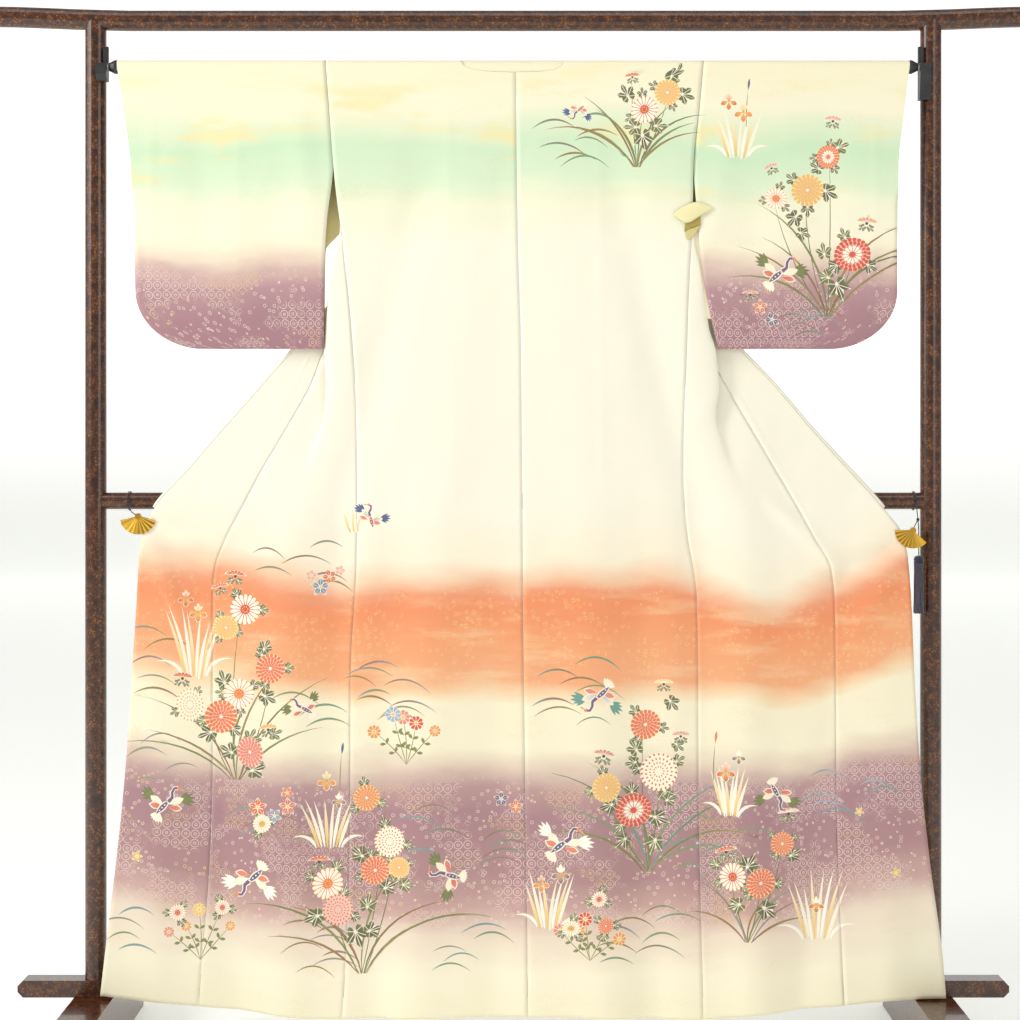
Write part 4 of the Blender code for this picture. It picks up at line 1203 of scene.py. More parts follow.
# A patch of wind-laid blades: across, height, width, height of the patch, count, tones
BLADES = (
    (-352, 800, 110, 84, 6, ("olive", "grey", "rust"), 31),
    (-590, 640, 46, 130, 5, ("grey", "olive", "rust"), 32),
    (-215, 590, 150, 100, 9, ("rust", "grey", "olive"), 33),
    (-330, 560, 60, 60, 3, ("teal", "olive"), 34),
    (-570, 480, 70, 90, 4, ("grey", "olive"), 35),
    (-390, 370, 150, 60, 5, ("grey", "olive", "rust"), 36),
    (-150, 350, 120, 110, 6, ("rust", "grey", "teal"), 37),
    (-620, 200, 60, 80, 4, ("teal", "grey", "olive"), 38),
    (-345, 170, 170, 90, 7, ("olive", "rust", "grey"), 39),
    (-70, 170, 90, 80, 5, COOL, 40),
    (90, 590, 110, 110, 7, ("olive", "teal", "rust"), 41),
    (210, 190, 130, 90, 8, ("rust", "teal", "olive"), 42),
    (345, 350, 120, 110, 6, ("teal", "grey", "olive"), 43),
    (560, 420, 110, 80, 6, ("teal", "sky", "grey"), 44),
    (-20, 330, 60, 60, 4, ("rust", "teal"), 45),
    (104, 1500, 90, 90, 7, ("olive", "teal", "rust"), 46),
    (478, 1200, 110, 44, 5, ("grey", "rust", "teal"), 47),
)
# Iris clumps: foot across and height, leaves' height and width, seed
SWORDS = (
    (-525, 620, 120, 62, 61),
    (-304, 340, 92, 70, 62),
    (356, 394, 82, 46, 63),
    (58, 207, 92, 62, 64),
    (500, 190, 112, 74, 65),
    (369, 1477, 82, 62, 66),
    (-262, 862, 44, 30, 67),
)
# Iris flowers: across, height, size, fall colour, stand colour
IRISES = (
    (-540, 752, 15, "red", "rose"),
    (-520, 728, 17, "orange", "yellow"),
    (-308, 451, 18, "orange", "yellow"),
    (-288, 418, 14, "purple", "white"),
    (350, 466, 18, "red", "orange"),
    (371, 491, 13, "blue", "white"),
    (78, 298, 18, "purple", "white"),
    (46, 282, 16, "orange", "red"),
    (500, 246, 15, "red", "white"),
    (355, 1571, 16, "red", "orange"),
    (379, 1553, 18, "orange", "yellow"),
)
# Iris buds: across, height, length, colour
SPEARS = ((-283, 492, 22, "blue"), (333, 511, 22, "orange"), (387, 1588, 20, "purple"))
# Main stems: foot across and height, head across and height, bow
STEMS = (
    ((-458, 452), (-444, 732), 14),
    ((-454, 452), (-404, 636), -24),
    ((-462, 452), (-500, 576), 26),
    ((-452, 452), (-436, 500), -8),
    ((-250, 132), (-214, 420), -10),
    ((-246, 132), (-196, 352), -16),
    ((-254, 132), (-292, 244), 24),
    ((222, 300), (218, 545), 10),
    ((222, 300), (240, 470), -10),
    ((222, 300), (156, 440), 26),
    ((386, 186), (360, 290), 14),
    ((386, 186), (406, 284), -12),
    ((386, 186), (440, 345), -20),
    ((204, 1462), (216, 1557), 8),
    ((204, 1462), (254, 1585), -20),
    ((204, 1462), (196, 1610), 6),
    ((517, 1216), (485, 1425), 18),
    ((517, 1216), (519, 1480), -6),
    ((517, 1216), (558, 1320), -24),
    ((517, 1216), (436, 1408), 26),
)
# Chrysanthemum leaves: across, height, size, turn, colour
LEAVES = (
    (-424, 470, 27, 20, "ink"),
    (-470, 500, 24, 150, "green"),
    (-432, 524, 22, 60, "moss"),
    (-505, 528, 25, 200, "ink"),
    (-478, 618, 25, 110, "green"),
    (-404, 588, 24, -30, "ink"),
    (-408, 672, 20, 60, "green"),
    (-392, 530, 20, 20, "moss"),
    (-258, 194, 30, -70, "ink"),
    (-232, 204, 24, 20, "ink"),
    (-329, 226, 27, 200, "green"),
    (-240, 248, 24, 80, "moss"),
    (-206, 276, 24, 30, "ink"),
    (-254, 330, 24, 140, "ink"),
    (-176, 280, 20, 0, "moss"),
    (-290, 310, 20, 60, "moss"),
    (156, 410, 24, 200, "ink"),
    (240, 388, 26, -20, "ink"),
    (180, 352, 22, 220, "green"),
    (232, 346, 26, 250, "moss"),
    (200, 506, 24, 120, "moss"),
    (196, 480, 20, 190, "green"),
    (262, 578, 22, -50, "ink"),
    (258, 420, 20, 20, "green"),
    (272, 508, 18, -40, "green"),
    (388, 316, 26, 60, "ink"),
    (462, 330, 22, 30, "ink"),
    (418, 238, 28, -40, "ink"),
    (366, 246, 24, 200, "moss"),
    (332, 314, 18, 150, "moss"),
    (214, 1508, 27, -80, "ink"),
    (196, 1528, 22, 180, "moss"),
    (240, 1530, 22, 0, "moss"),
    (186, 1584, 24, 120, "ink"),
    (284, 1580, 24, -20, "green"),
    (262, 1618, 24, 80, "green"),
    (536, 1262, 30, -70, "ink"),
    (514, 1282, 22, 160, "moss"),
    (512, 1324, 22, 100, "moss"),
    (462, 1376, 24, 230, "ink"),
    (520, 1420, 26, -30, "ink"),
    (540, 1496, 22, 20, "moss"),
    (500, 1462, 20, 150, "green"),
    (478, 1352, 20, -20, "green"),
)
# Chrysanthemums: across, height, size, root, tip, kind, flatness
FLOWERS = (
    (-474, 703, 20, "amber", "yellow", "full", 1.1),
    (-442, 733, 26, "red", "cream", "open", 1.0),
    (-400, 636, 26, "red", "orange", "full", 0.95),
    (-452, 594, 26, "orange", "cream", "open", 1.05),
    (-533, 576, 23, "gold", "cream", "dots", 1.25),
    (-482, 556, 28, "red", "orange", "full", 1.0),
    (-434, 498, 22, "red", "rose", "full", 1.2),
    (-242, 422, 23, "orange", "amber", "full", 0.95),
    (-204, 350, 27, "red", "cream", "dots", 0.95),
    (-228, 302, 25, "red", "orange", "full", 0.95),
    (-188, 308, 18, "amber", "yellow", "full", 1.0),
    (-306, 281, 28, "orange", "cream", "open", 0.9),
    (-289, 238, 27, "red", "pink", "dots", 0.95),
    (218, 543, 26, "red", "orange", "full", 0.95),
    (240, 465, 33, "red", "cream", "dots", 0.95),
    (153, 440, 25, "amber", "yellow", "full", 0.95),
    (198, 402, 31, "red", "cream", "ring", 0.9),
    (361, 293, 22, "red", "cream", "open", 1.1),
    (407, 283, 26, "red", "orange", "full", 0.9),
    (443, 347, 20, "amber", "orange", "full", 1.0),
    (216, 1557, 24, "red", "cream", "open", 0.95),
    (254, 1585, 22, "amber", "yellow", "full", 1.0),
    (485, 1424, 28, "amber", "yellow", "full", 0.95),
    (433, 1410, 18, "orange", "cream", "open", 1.1),
    (519, 1479, 20, "orange", "cream", "ring", 0.95),
    (559, 1318, 31, "red", "cream", "ring", 0.9),
    (-414, 380, 16, "gold", "cream", "open", 0.95),
    (-553, 234, 14, "red", "cream", "open", 1.0),
    (-480, 241, 13, "red", "cream", "open", 1.0),
    (141, 257, 14, "red", "cream", "open", 0.9),
    (152, 213, 14, "red", "orange", "full", 0.9),
    (95, 208, 16, "gold", "cream", "open", 0.85),
)
# Half-open flowers: across, height, size, turn, root, tip
BUDS = (
    (-458, 790, 17, 84, "red", "orange"),
    (-484, 770, 14, 104, "red", "rose"),
    (-545, 622, 17, 84, "red", "orange"),
    (-404, 538, 16, 96, "amber", "yellow"),
    (-320, 320, 17, 92, "red", "orange"),
    (248, 612, 15, 90, "yellow", "cream"),
    (276, 526, 15, 90, "rose", "pink"),
    (149, 495, 18, 80, "red", "pink"),
    (453, 399, 17, 96, "pink", "white"),
    (350, 336, 17, 104, "red", "orange"),
    (527, 1540, 15, 84, "rose", "pink"),
    (425, 1462, 13, 110, "rose", "pink"),
    (583, 1372, 17, 84, "orange", "pink"),
    (391, 1254, 13, 90, "rose", "pink"),
    (196, 1612, 13, 96, "red", "orange"),
)
# Bellflowers: across, height, size, turn, root, tip
BELLS = (
    (-318, 770, 16, 90, "blue", "sky"),
    (-303, 787, 13, 40, "red", "orange"),
    (-333, 789, 11, 10, "rose", "pink"),
    (-286, 797, 10, 70, "rose", "pink"),
    (-421, 407, 16, 90, "red", "orange"),
    (-393, 394, 13, 50, "blue", "sky"),
    (-371, 409, 15, 20, "red", "rose"),
    (-372, 432, 11, 60, "red", "orange"),
    (407, 1232, 13, 90, "red", "rose"),
    (427, 1211, 13, 40, "blue", "purple"),
    (-20, 420, 13, 90, "blue", "purple"),
    (4, 408, 12, 20, "red", "orange"),
    (-620, 327, 10, 0, "gold", "yellow"),
    (630, 300, 9, 30, "gold", "yellow"),
    (570, 400, 8, 60, "gold", "yellow"),
)
# Little bushes: foot across and height, reach, seed, colours
SPRAYS = (
    (-176, 478, 92, 51, ("amber", "red", "rose", "sky")),
    (-516, 156, 84, 52, ("amber", "rose", "yellow")),
    (126, 156, 70, 54, ("amber", "rose", "red")),
)
# Cranes: across, height, size, turn, flip, dress
CRANES = (
    (-345, 570, 64, 196, -1, "green"),
    (-573, 412, 86, 0, 1, "green"),
    (-430, 290, 92, 176, 1, "white"),
    (-106, 296, 82, 118, 1, "green"),
    (-235, 882, 60, 150, -1, "night"),
    (142, 592, 84, 176, 1, "teal"),
    (80, 346, 92, -8, 1, "white"),
    (434, 430, 76, -14, -1, "green"),
    (108, 1556, 48, 176, 1, "night"),
    (438, 1286, 88, -6, 1, "green"),
)

# %% Paint everything in order
for across, height, wide, tall, count, tones, seed in BLADES:
    blades((across, height), wide, tall, count, tones, seed)
for across, height, spread, long, count, lean, tones, seed in GRASS:
    grass((across, height), spread, long, tones, seed, count, lean)
for across, height, high, wide, seed in SWORDS:
    sword_leaves((across, height), high, wide, seed)
for across, height, long, tone in SPEARS:
    stem((across - 3, height - 60), (across, height), 6, 1.6, "olive")
    paint(leaf_outline(0.3, 0.16), (across, height), 84, long, "line")
    paint(leaf_outline(0.3, 0.1), (across, height), 84, long, tone)
for across, height, size, fall, upright in IRISES:
    iris((across, height), size, 0, fall, upright)
for foot, head, bow in STEMS:
    stem(foot, head, bow)
for across, height, reach, seed, tones in SPRAYS:
    small_flowers((across, height), reach, seed, tones)
for number, (across, height, size, *_) in enumerate(FLOWERS):
    leaves_round((across, height), size, 200 + number)
for across, height, size, turn, tone in LEAVES:
    chrysanthemum_leaf((across, height), size, turn, tone)
for across, height, size, turn, root, tip in BUDS:
    chrysanthemum_bud((across, height), size, turn, root, tip)
for across, height, size, root, tip, kind, flat in FLOWERS:
    KINDS[kind]((across, height), size, root, tip, float(across % 90), flat)
for across, height, size, turn, root, tip in BELLS:
    bellflower((across, height), size, turn, root, tip)
for across, height, size, turn, flip, dress in CRANES:
    crane((across, height), size, turn, flip, dress)
print("painted shapes:", len(SHAPES))

# %% [markdown]
# ## The silk
# The cloth is dyed in soft bands. They are the stops of a colour ramp over the height
# along the cloth, which is shifted a little where the clips lift it, so the bands bend
# with the folds. Noise frays their edges as the real dye runs. Gold mist, a small
# repeat of rings and dots, and tiny scattered blossoms are laid into the bands. A
# picture would fix one size of detail, while these patterns are formulas over the
# cloth's own lengths.

# %% A small kit for building materials


class Nodes:
    """A material whose nodes are added one after another."""

    def __init__(self, name):
        self.material = bpy.data.materials.new(name)
        self.material.use_nodes = True
        self.tree = self.material.node_tree
        self.shader = self.tree.nodes["Principled BSDF"]
        self.count = 0

    def add(self, kind, links=None, **settings):
        """A node with its settings; links give its inputs as sockets or constants."""
        node = self.tree.nodes.new("ShaderNode" + kind)
        node.location = (-220 * (1 + self.count % 8), -180 * (self.count // 8))
        self.count += 1
        for key, value in settings.items():
            setattr(node, key, value)
        for key, value in (links or {}).items():
            self.feed(node.inputs[key], value)
        return node

    def feed(self, socket, value):
        if isinstance(value, bpy.types.NodeSocket):
            self.tree.links.new(value, socket)
        else:
            socket.default_value = value

    def maths(self, operation, a, b=0.0, clamp=False):
        node = self.add("Math", operation=operation, use_clamp=clamp)
        self.feed(node.inputs[0], a)
        self.feed(node.inputs[1], b)
        return node.outputs[0]

    def smooth(self, low, high, value):
        """0 below low, 1 above high and a soft S between."""
        node = self.add("MapRange", interpolation_type="SMOOTHSTEP")
        for key, part in (("Value", value), ("From Min", low), ("From Max", high)):
            self.feed(node.inputs[key], part)
        return node.outputs[0]

    def mix(self, factor, a, b, blend="MIX"):
        node = self.add("Mix", data_type="RGBA", blend_type=blend)
        self.feed(node.inputs["Factor"], factor)
        self.feed(node.inputs["A"], a)
        self.feed(node.inputs["B"], b)
        return node.outputs["Result"]

    def noise(self, place, scale, detail=2.0, rough=0.5):
        links = {"Vector": place, "Scale": scale, "Detail": detail, "Roughness": rough}
        return self.add("TexNoise", links).outputs["Fac"]

    def ramp(self, value, stops):
        node = self.add("ValToRGB", {"Fac": value})
        band = node.color_ramp
        while len(band.elements) < len(stops):
            band.elements.new(0.5)
        for element, (at, colour) in zip(band.elements, stops):
            element.position = at
            element.color = colour
        return node.outputs["Color"]

    def bump(self, height, strength, distance, normal=None):
        links = {"Height": height, "Strength": strength, "Distance": distance}
        node = self.add("Bump", links)
        if normal is not None:
            self.feed(node.inputs["Normal"], normal)
        return node.outputs["Normal"]

    def finish(self, **inputs):
        """Feed the shader: underscores in the names stand for spaces."""
        for key, value in inputs.items():
            self.feed(self.shader.inputs[key.replace("_", " ")], value)
        return self.material


def grey(value):
    return (value, value, value, 1.0)


# %% The dyed bands
TOP_Z = 1640.0
BODY_BANDS = (
    (60, "#F8F1D2"),
    (130, "#FBF4DA"),
    (193, "#EFDFCB"),
    (235, "#CDA9A2"),
    (290, "#B38C8E"),
    (395, "#AE878E"),
    (440, "#BE9A9A"),
    (474, "#E6D3BF"),
    (508, "#FAF3D6"),
    (576, "#FBF2D4"),
    (598, "#FAD9B0"),
    (622, "#F6B184"),
    (680, "#F6A676"),
    (728, "#F4986A"),
    (752, "#F2A079"),
    (778, "#F9D2B0"),
    (812, "#FDF3DB"),
    (900, "#FDF8E6"),
    (1330, "#FCF8E4"),
    (1400, "#F4F5D8"),
    (1440, "#DDEFCF"),
    (1490, "#D3EBC9"),
    (1525, "#E6EFCF"),
    (1560, "#F8F3D6"),
    (1600, "#F7F1D2"),
    (1640, "#F7F0D0"),
)
SLEEVE_BANDS = (
    (1163, "#A98089"),
    (1215, "#AE858C"),
    (1262, "#BC959A"),
    (1290, "#D4B4AE"),
    (1312, "#F0DEC8"),
    (1335, "#FAF3D8"),
    (1368, "#FBF5DC"),
    (1400, "#F4F5D8"),
    (1440, "#DDEFCF"),
    (1490, "#CFEAC6"),
    (1525, "#E4EFCE"),
    (1560, "#F8F3D6"),
    (1600, "#F7F1D2"),
    (1640, "#F7F0D0"),
)


def ring_of(n, cell, far, thick):
    """1 on a circle round each cell's point."""
    off = n.maths("ABSOLUTE", n.maths("SUBTRACT", cell.outputs["Distance"], far))
    return n.smooth(thick, thick * 0.4, off)


def dot_of(n, cell, far):
    """1 in a dot on each cell's point."""
    return n.smooth(far, far * 0.6, cell.outputs["Distance"])


def silk(name, bands, blossom, rings, mist):
    """Dyed silk. Blossom, rings and mist are (low, high) height ranges of the tiny
    flowers, the ring-and-dot repeat and the gold mist."""
    n = Nodes(name)
    place = n.add("UVMap", uv_map="cloth").outputs["UV"]
    dye = n.add("Attribute", attribute_name="dye").outputs["Fac"]
    wide = n.add("VectorMath", {0: place, 1: (1.0, 3.2, 1.0)}, operation="MULTIPLY")
    cloud = n.noise(wide.outputs[0], 5.0, 4.0, 0.55)
    wander = n.maths("MULTIPLY", n.maths("SUBTRACT", cloud, 0.5), 0.055)
    level = n.maths("ADD", dye, wander)
    stops = [(height / TOP_Z, linear(code)) for height, code in bands]
    colour = n.ramp(n.maths("DIVIDE", level, TOP_Z * MM), stops)

    def within(span, soft=0.02):
        low = n.smooth(span[0] * MM - soft, span[0] * MM + soft, level)
        high = n.smooth(span[1] * MM - soft, span[1] * MM + soft, level)
        return n.maths("MULTIPLY", low, n.maths("SUBTRACT", 1.0, high))

    patch = n.noise(place, 9.0, 3.0, 0.6)
    # Yellow clouds in the mint of the shoulders
    sun = n.smooth(0.52, 0.66, n.noise(wide.outputs[0], 4.2, 3.0, 0.6))
    sun = n.maths("MULTIPLY", sun, within((1420, 1600), 0.03))
    colour = n.mix(n.maths("MULTIPLY", sun, 0.75), colour, linear("#F3E7AE"))
    # Gold mist: fine flecks gathered in clouds
    fleck = n.add("TexVoronoi", {"Vector": place, "Scale": 640.0}).outputs["Distance"]
    dust = n.smooth(0.34, 0.2, fleck)
    gather = n.smooth(0.5, 0.68, n.noise(wide.outputs[0], 7.0, 5.0, 0.7))
    gold = n.maths("MULTIPLY", dust, gather)
    ranges = [within(span, 0.03) for span in mist]
    zone = ranges[0]
    for other in ranges[1:]:
        zone = n.maths("MAXIMUM", zone, other)
    gold = n.maths("MULTIPLY", n.maths("MULTIPLY", gold, zone), 0.6)
    colour = n.mix(gold, colour, linear("#E4BE6B"))
    # A fine net of rings and dots, and beside it dots and rings strewn at random
    zone = within(rings, 0.018)
    net = n.smooth(0.47, 0.55, patch)
    cell = n.add("TexVoronoi", {"Vector": place, "Scale": 64.0, "Randomness": 0.08})
    mark = n.maths("MAXIMUM", ring_of(n, cell, 0.42, 0.055), ring_of(n, cell, 0.14, 0.05))
    mark = n.maths("MULTIPLY", mark, net)
    strewn = n.add("TexVoronoi", {"Vector": place, "Scale": 88.0, "Randomness": 0.95})
    loose = n.maths("MAXIMUM", ring_of(n, strewn, 0.24, 0.06), dot_of(n, strewn, 0.1))
    loose = n.maths("MULTIPLY", loose, n.maths("SUBTRACT", 1.0, net))
    mark = n.maths("MULTIPLY", n.maths("MAXIMUM", mark, loose), zone)
    tint = n.mix(n.smooth(0.5, 0.62, cloud), linear("#F1DCD2"), linear("#EBCF93"))
    colour = n.mix(n.maths("MULTIPLY", mark, 0.72), colour, tint)
    # Pale streaks and a fine gold flower repeat in the orange band
    zone = within(blossom, 0.02)
    streak = n.add("VectorMath", {0: place, 1: (3.0, 16.0, 1.0)}, operation="MULTIPLY")
    streaks = n.smooth(0.5, 0.72, n.noise(streak.outputs[0], 1.6, 5.0, 0.6))
    colour = n.mix(n.maths("MULTIPLY", n.maths("MULTIPLY", streaks, zone), 0.42), colour, linear("#FBE3B4"))
    seed = n.add("TexVoronoi", {"Vector": place, "Scale": 96.0, "Randomness": 0.75})
    bloom = n.maths("MAXIMUM", ring_of(n, seed, 0.3, 0.12), dot_of(n, seed, 0.12))
    crumbs = n.smooth(0.46, 0.6, n.noise(place, 420.0, 2.0, 0.7))
    few = n.smooth(0.38, 0.52, n.noise(place, 12.0, 3.0, 0.6))
    bloom = n.maths("MULTIPLY", n.maths("MULTIPLY", bloom, crumbs), n.maths("MULTIPLY", few, zone))
    colour = n.mix(n.maths("MULTIPLY", bloom, 0.75), colour, linear("#FCD692"))
    # The paint itself, a little uneven as brushed pigment is
    print_layer = n.add("Attribute", attribute_name="paint")
    pigment = n.maths("MULTIPLY", n.noise(place, 260.0, 2.0), 0.16)
    painted = n.mix(pigment, print_layer.outputs["Color"], linear("#FFF4DC"))
    colour = n.mix(print_layer.outputs["Alpha"], colour, painted)
    # Crepe weave: fine twisted threads that run with the strip
    thread = n.add("VectorMath", {0: place, 1: (1500.0, 620.0, 1.0)}, operation="MULTIPLY")
    weave = n.noise(thread.outputs[0], 1.0, 2.0, 0.6)
    slub = n.noise(place, 120.0, 3.0, 0.6)
    colour = n.mix(n.maths("MULTIPLY", slub, 0.06), colour, linear("#E9DDBB"), "MULTIPLY")
    height = n.maths("ADD", weave, n.maths("MULTIPLY", slub, 0.7))
    rough = n.maths("ADD", 0.5, n.maths("MULTIPLY", slub, 0.16))
    return n.finish(
        Base_Color=colour,
        Roughness=rough,
        Normal=n.bump(height, 0.16, 0.0004),
        Sheen_Weight=0.25,
        Sheen_Roughness=0.4,
        Sheen_Tint=linear("#FFF6E2"),
        Specular_IOR_Level=0.32,
        Subsurface_Weight=0.0,
    )


def lining_silk(name, code, shade):
    """Plain woven lining: even threads, a soft lustre and slight unevenness."""
    n = Nodes(name)
    place = n.add("TexCoord").outputs["Object"]
    thread = n.add("VectorMath", {0: place, 1: (1800.0, 900.0, 1800.0)}, operation="MULTIPLY")
    weave = n.noise(thread.outputs[0], 1.0, 1.0)
    cloud = n.noise(place, 14.0, 3.0)
    colour = n.mix(n.maths("MULTIPLY", cloud, 0.5), linear(code), linear(shade))
    return n.finish(
        Base_Color=colour,
        Roughness=n.maths("ADD", 0.44, n.maths("MULTIPLY", cloud, 0.12)),
        Normal=n.bump(weave, 0.12, 0.0003),
        Sheen_Weight=0.2,
        Specular_IOR_Level=0.35,
    )


# Heights of the patterns on body and sleeves. The sleeves end far above NO_BLOSSOM.
BODY_BLOSSOM = (600, 765)
NO_BLOSSOM = (10, 20)
BODY_RINGS = (205, 448)
SLEEVE_RINGS = (1150, 1290)
BODY_MIST = ((60, 200), (470, 620), (1400, 1640))
SLEEVE_MIST = ((1290, 1380), (1400, 1640))
BODY_SILK = silk("dyed_crepe_silk_body", BODY_BANDS, BODY_BLOSSOM, BODY_RINGS, BODY_MIST)
SLEEVE_SILK = silk("dyed_crepe_silk_sleeve", SLEEVE_BANDS, NO_BLOSSOM, SLEEVE_RINGS, SLEEVE_MIST)
TURNED_LINING = lining_silk("turned_out_lining_habutae_silk", "#F7F0BE", "#EFE3A0")
LINING = lining_silk("lining_habutae_silk", "#F4ECD0", "#E4D6AA")
# Painted shade: a dark ochre copy of the lining, for the inside that lies in shadow at the underarm
PAINTED_SHADE_LINING = lining_silk("painted_shade_ochre_habutae_silk", "#B7A45A", "#94813A")
# Partly painted shade: the sleeve lining is a deeper ochre than the body's cream lining, to match the lining
# seen in shadow at the underarm
SLEEVE_LINING = lining_silk("sleeve_lining_habutae_silk", "#E3D79C", "#BCA75C")

# %% [markdown]
# ## Stand, rod and clips
# The stand is wood under a speckled lacquer: dark brown with crowded lighter brown
# flecks and a clear gloss coat. The flecks are two sizes of cells, masked by noise so
# that they clump. Carving them as relief would be wrong, for the real surface is flat.

# %% Hard finishes


def speckled_lacquer(name):
    n = Nodes(name)
    place = n.add("TexCoord").outputs["Object"]
    spots = n.add("TexVoronoi", {"Vector": place, "Scale": 260.0}).outputs["Distance"]
    specks = n.add("TexVoronoi", {"Vector": place, "Scale": 480.0}).outputs["Distance"]
    clump = n.noise(place, 90.0, 4.0, 0.65)
    large = n.maths("MULTIPLY", n.smooth(0.5, 0.3, spots), n.smooth(0.42, 0.6, clump))
    small = n.maths("MULTIPLY", n.smooth(0.42, 0.25, specks), n.smooth(0.35, 0.55, clump))
    tone = n.ramp(n.noise(place, 200.0, 2.0), ((0.35, linear("#55290F")), (0.65, linear("#96602C"))))
    base = n.ramp(clump, ((0.3, linear("#2A1005")), (0.7, linear("#4E260D"))))
    colour = n.mix(n.maths("MAXIMUM", large, n.maths("MULTIPLY", small, 0.8)), base, tone)
    return n.finish(
        Base_Color=colour,
        Roughness=n.maths("ADD", 0.24, n.maths("MULTIPLY", clump, 0.14)),
        Coat_Weight=0.45,
        Coat_Roughness=0.06,
        Normal=n.bump(clump, 0.05, 0.0004),
    )


def brushed_metal(name, code, metallic, low, high, scale=(40.0, 900.0, 900.0)):
    """Metal with fine lines along its length and a roughness that varies with them."""
    n = Nodes(name)
    place = n.add("TexCoord").outputs["Object"]
    long = n.add("VectorMath", {0: place, 1: scale}, operation="MULTIPLY")
    lines = n.noise(long.outputs[0], 1.0, 3.0, 0.6)
    cloud = n.noise(place, 60.0, 3.0)
    colour = n.mix(n.maths("MULTIPLY", cloud, 0.3), linear(code), grey(0.12))
    return n.finish(
        Base_Color=colour,
        Metallic=metallic,
        Roughness=n.maths("ADD", low, n.maths("MULTIPLY", lines, high - low)),
        Normal=n.bump(lines, 0.08, 0.0003),
    )


def twisted_thread(name, code, shade, turns):
    """Spun thread: slanting stripes that go round the cord."""
    n = Nodes(name)
    place = n.add("TexCoord").outputs["Object"]
    wave = n.add("TexWave", {"Vector": place, "Scale": turns, "Distortion": 1.5}, bands_direction="DIAGONAL")
    fuzz = n.noise(place, 900.0, 2.0)
    height = n.maths("ADD", wave.outputs["Fac"], fuzz)
    colour = n.mix(n.maths("MULTIPLY", wave.outputs["Fac"], 0.6), linear(code), linear(shade))
    return n.finish(
        Base_Color=colour,
        Roughness=0.8,
        Sheen_Weight=0.4,
        Sheen_Roughness=0.5,
        Normal=n.bump(height, 0.5, 0.0006),
    )


LACQUER = speckled_lacquer("speckled_brown_lacquer_on_wood")
SILVER = brushed_metal("drawn_aluminium_rod", "#EFEFED", 0.3, 0.25, 0.45)
BLACK = brushed_metal("black_painted_steel", "#17171A", 0.0, 0.32, 0.5)
GILT = brushed_metal("gilt_brass_fan", "#E3B23C", 1.0, 0.22, 0.4, (700.0, 700.0, 60.0))
CORD = twisted_thread("black_silk_cord", "#15131C", "#3A3550", 900.0)
TASSEL_THREAD = twisted_thread("violet_grey_tassel_thread", "#3B3442", "#7A7183", 700.0)
TASSEL_HEAD = twisted_thread("dark_blue_tassel_binding", "#14122A", "#3A3560", 800.0)

# %% [markdown]
# ## The panels
# Body, okumi and sleeves are cut, painted and hung. The back's paint and the front's
# paint are the same drawing carried over the side seams. The left sleeve's far side,
# which is the garment's front, carries the right sleeve's bunch turned round, as a
# homongi has its design on the left front and the right back.

# %% Heights of the dye on the cloth


def band_shift(x, height):
    """How far the bands lie off their own height: they start higher towards both
    clips, and the right clip's pull makes a swag in the orange band's top."""
    swag = np.exp(-(((x - 410) / 82) ** 2))
    sag = swag * (12.0 * ease(560, 620, height) + 30.0 * ease(660, 730, height))
    warm, cool = ease(560, 640, height), ease(120, 220, height)
    lift = 46.0 * ease(-270, -620, x) * warm
    lift = lift + 34.0 * ease(-480, -640, x) * (1 - warm) * cool
    lift = lift + 50.0 * ease(520, 640, x) * warm
    lift = lift + 38.0 * ease(495, 575, x) * (1 - warm) * cool
    small = 5.0 * np.sin(x / 61.0) + 3.0 * np.sin(x / 23.0 + 1.0)
    return sag - lift + small * ease(1500, 700, height)


def body_dye(side, t, along, points):
    height = height_at(along)
    panel_own = -14.0 * (side > 0) * ease(690, 740, height) * ease(330, 250, points[:, 0])
    return (height + band_shift(points[:, 0], height) + panel_own) * MM


def okumi_dye(side, t, along, points):
    height = height_at(along)
    return (height + band_shift(points[:, 0], height) + 6.0) * MM


def sleeve_dye(side, t, along, points):
    height = height_at(along)
    return (height + 6.0 * np.sin(points[:, 0] / 47.0)) * MM


# %% Shapes of the design on each panel


def carried(to_cut, side, low, high, flip=1.0):
    """The shapes that reach in between two distances from the stand's middle, carried
    to a panel's cloth coordinates. Flip -1 turns the drawing to the other side."""
    kept = []
    for shape, root, tip, middle, reach in SHAPES:
        moved = shape * (flip, 1.0)
        across = side * moved[:, 0]
        if across.max() > low and across.min() < high:
            kept.append((moved, root, tip, middle * (flip, 1.0), reach))
    if not kept:
        return []
    every = to_cut(side, np.concatenate([shape[0] for shape in kept]))
    ends = np.cumsum([len(shape[0]) for shape in kept])[:-1]
    cut = np.split(every, ends)
    return [(points, *shape[1:]) for points, shape in zip(cut, kept)]


def far_sleeve(side, design):
    return to_sleeve(side, design) * (1.0, -1.0)


# Steps of the grids down the cloth and over the rod
STEP_DOWN = 7.0
STEP_OVER = 2.0
OKUMI_TOP = 1316.0
DOWN_BACK = along_at(even(HEM_Z, NECK_Z - 6, STEP_DOWN))
BODY_DOWN = np.concatenate(
    [
        -DOWN_BACK,
        [row[0] for row in NECK_CUT],
        even(-ARC + 3.0, ARC, STEP_OVER),
        along_at(even(NECK_Z - 2, HEM_Z, STEP_DOWN)),
    ]
)
BODY_ACROSS = even(0.0, 1.0, 1 / 42)
OKUMI_DOWN = along_at(even(OKUMI_TOP, HEM_Z, STEP_DOWN))
OKUMI_ACROSS = even(0.0, 1.0, 1 / 24)
SLEEVE_LONG = ARC + ROD_Z - SLEEVE_BOTTOM
EDGE_STEPS = np.array([0.0, 0.4, 1.2, 2.4, 4.2, 6.6, 9.5])
SLEEVE_LAYER = [SLEEVE_LONG - EDGE_STEPS, even(SLEEVE_LONG - 2 * STEP_DOWN, ARC, STEP_DOWN)]
SLEEVE_LAYER = np.concatenate(SLEEVE_LAYER)
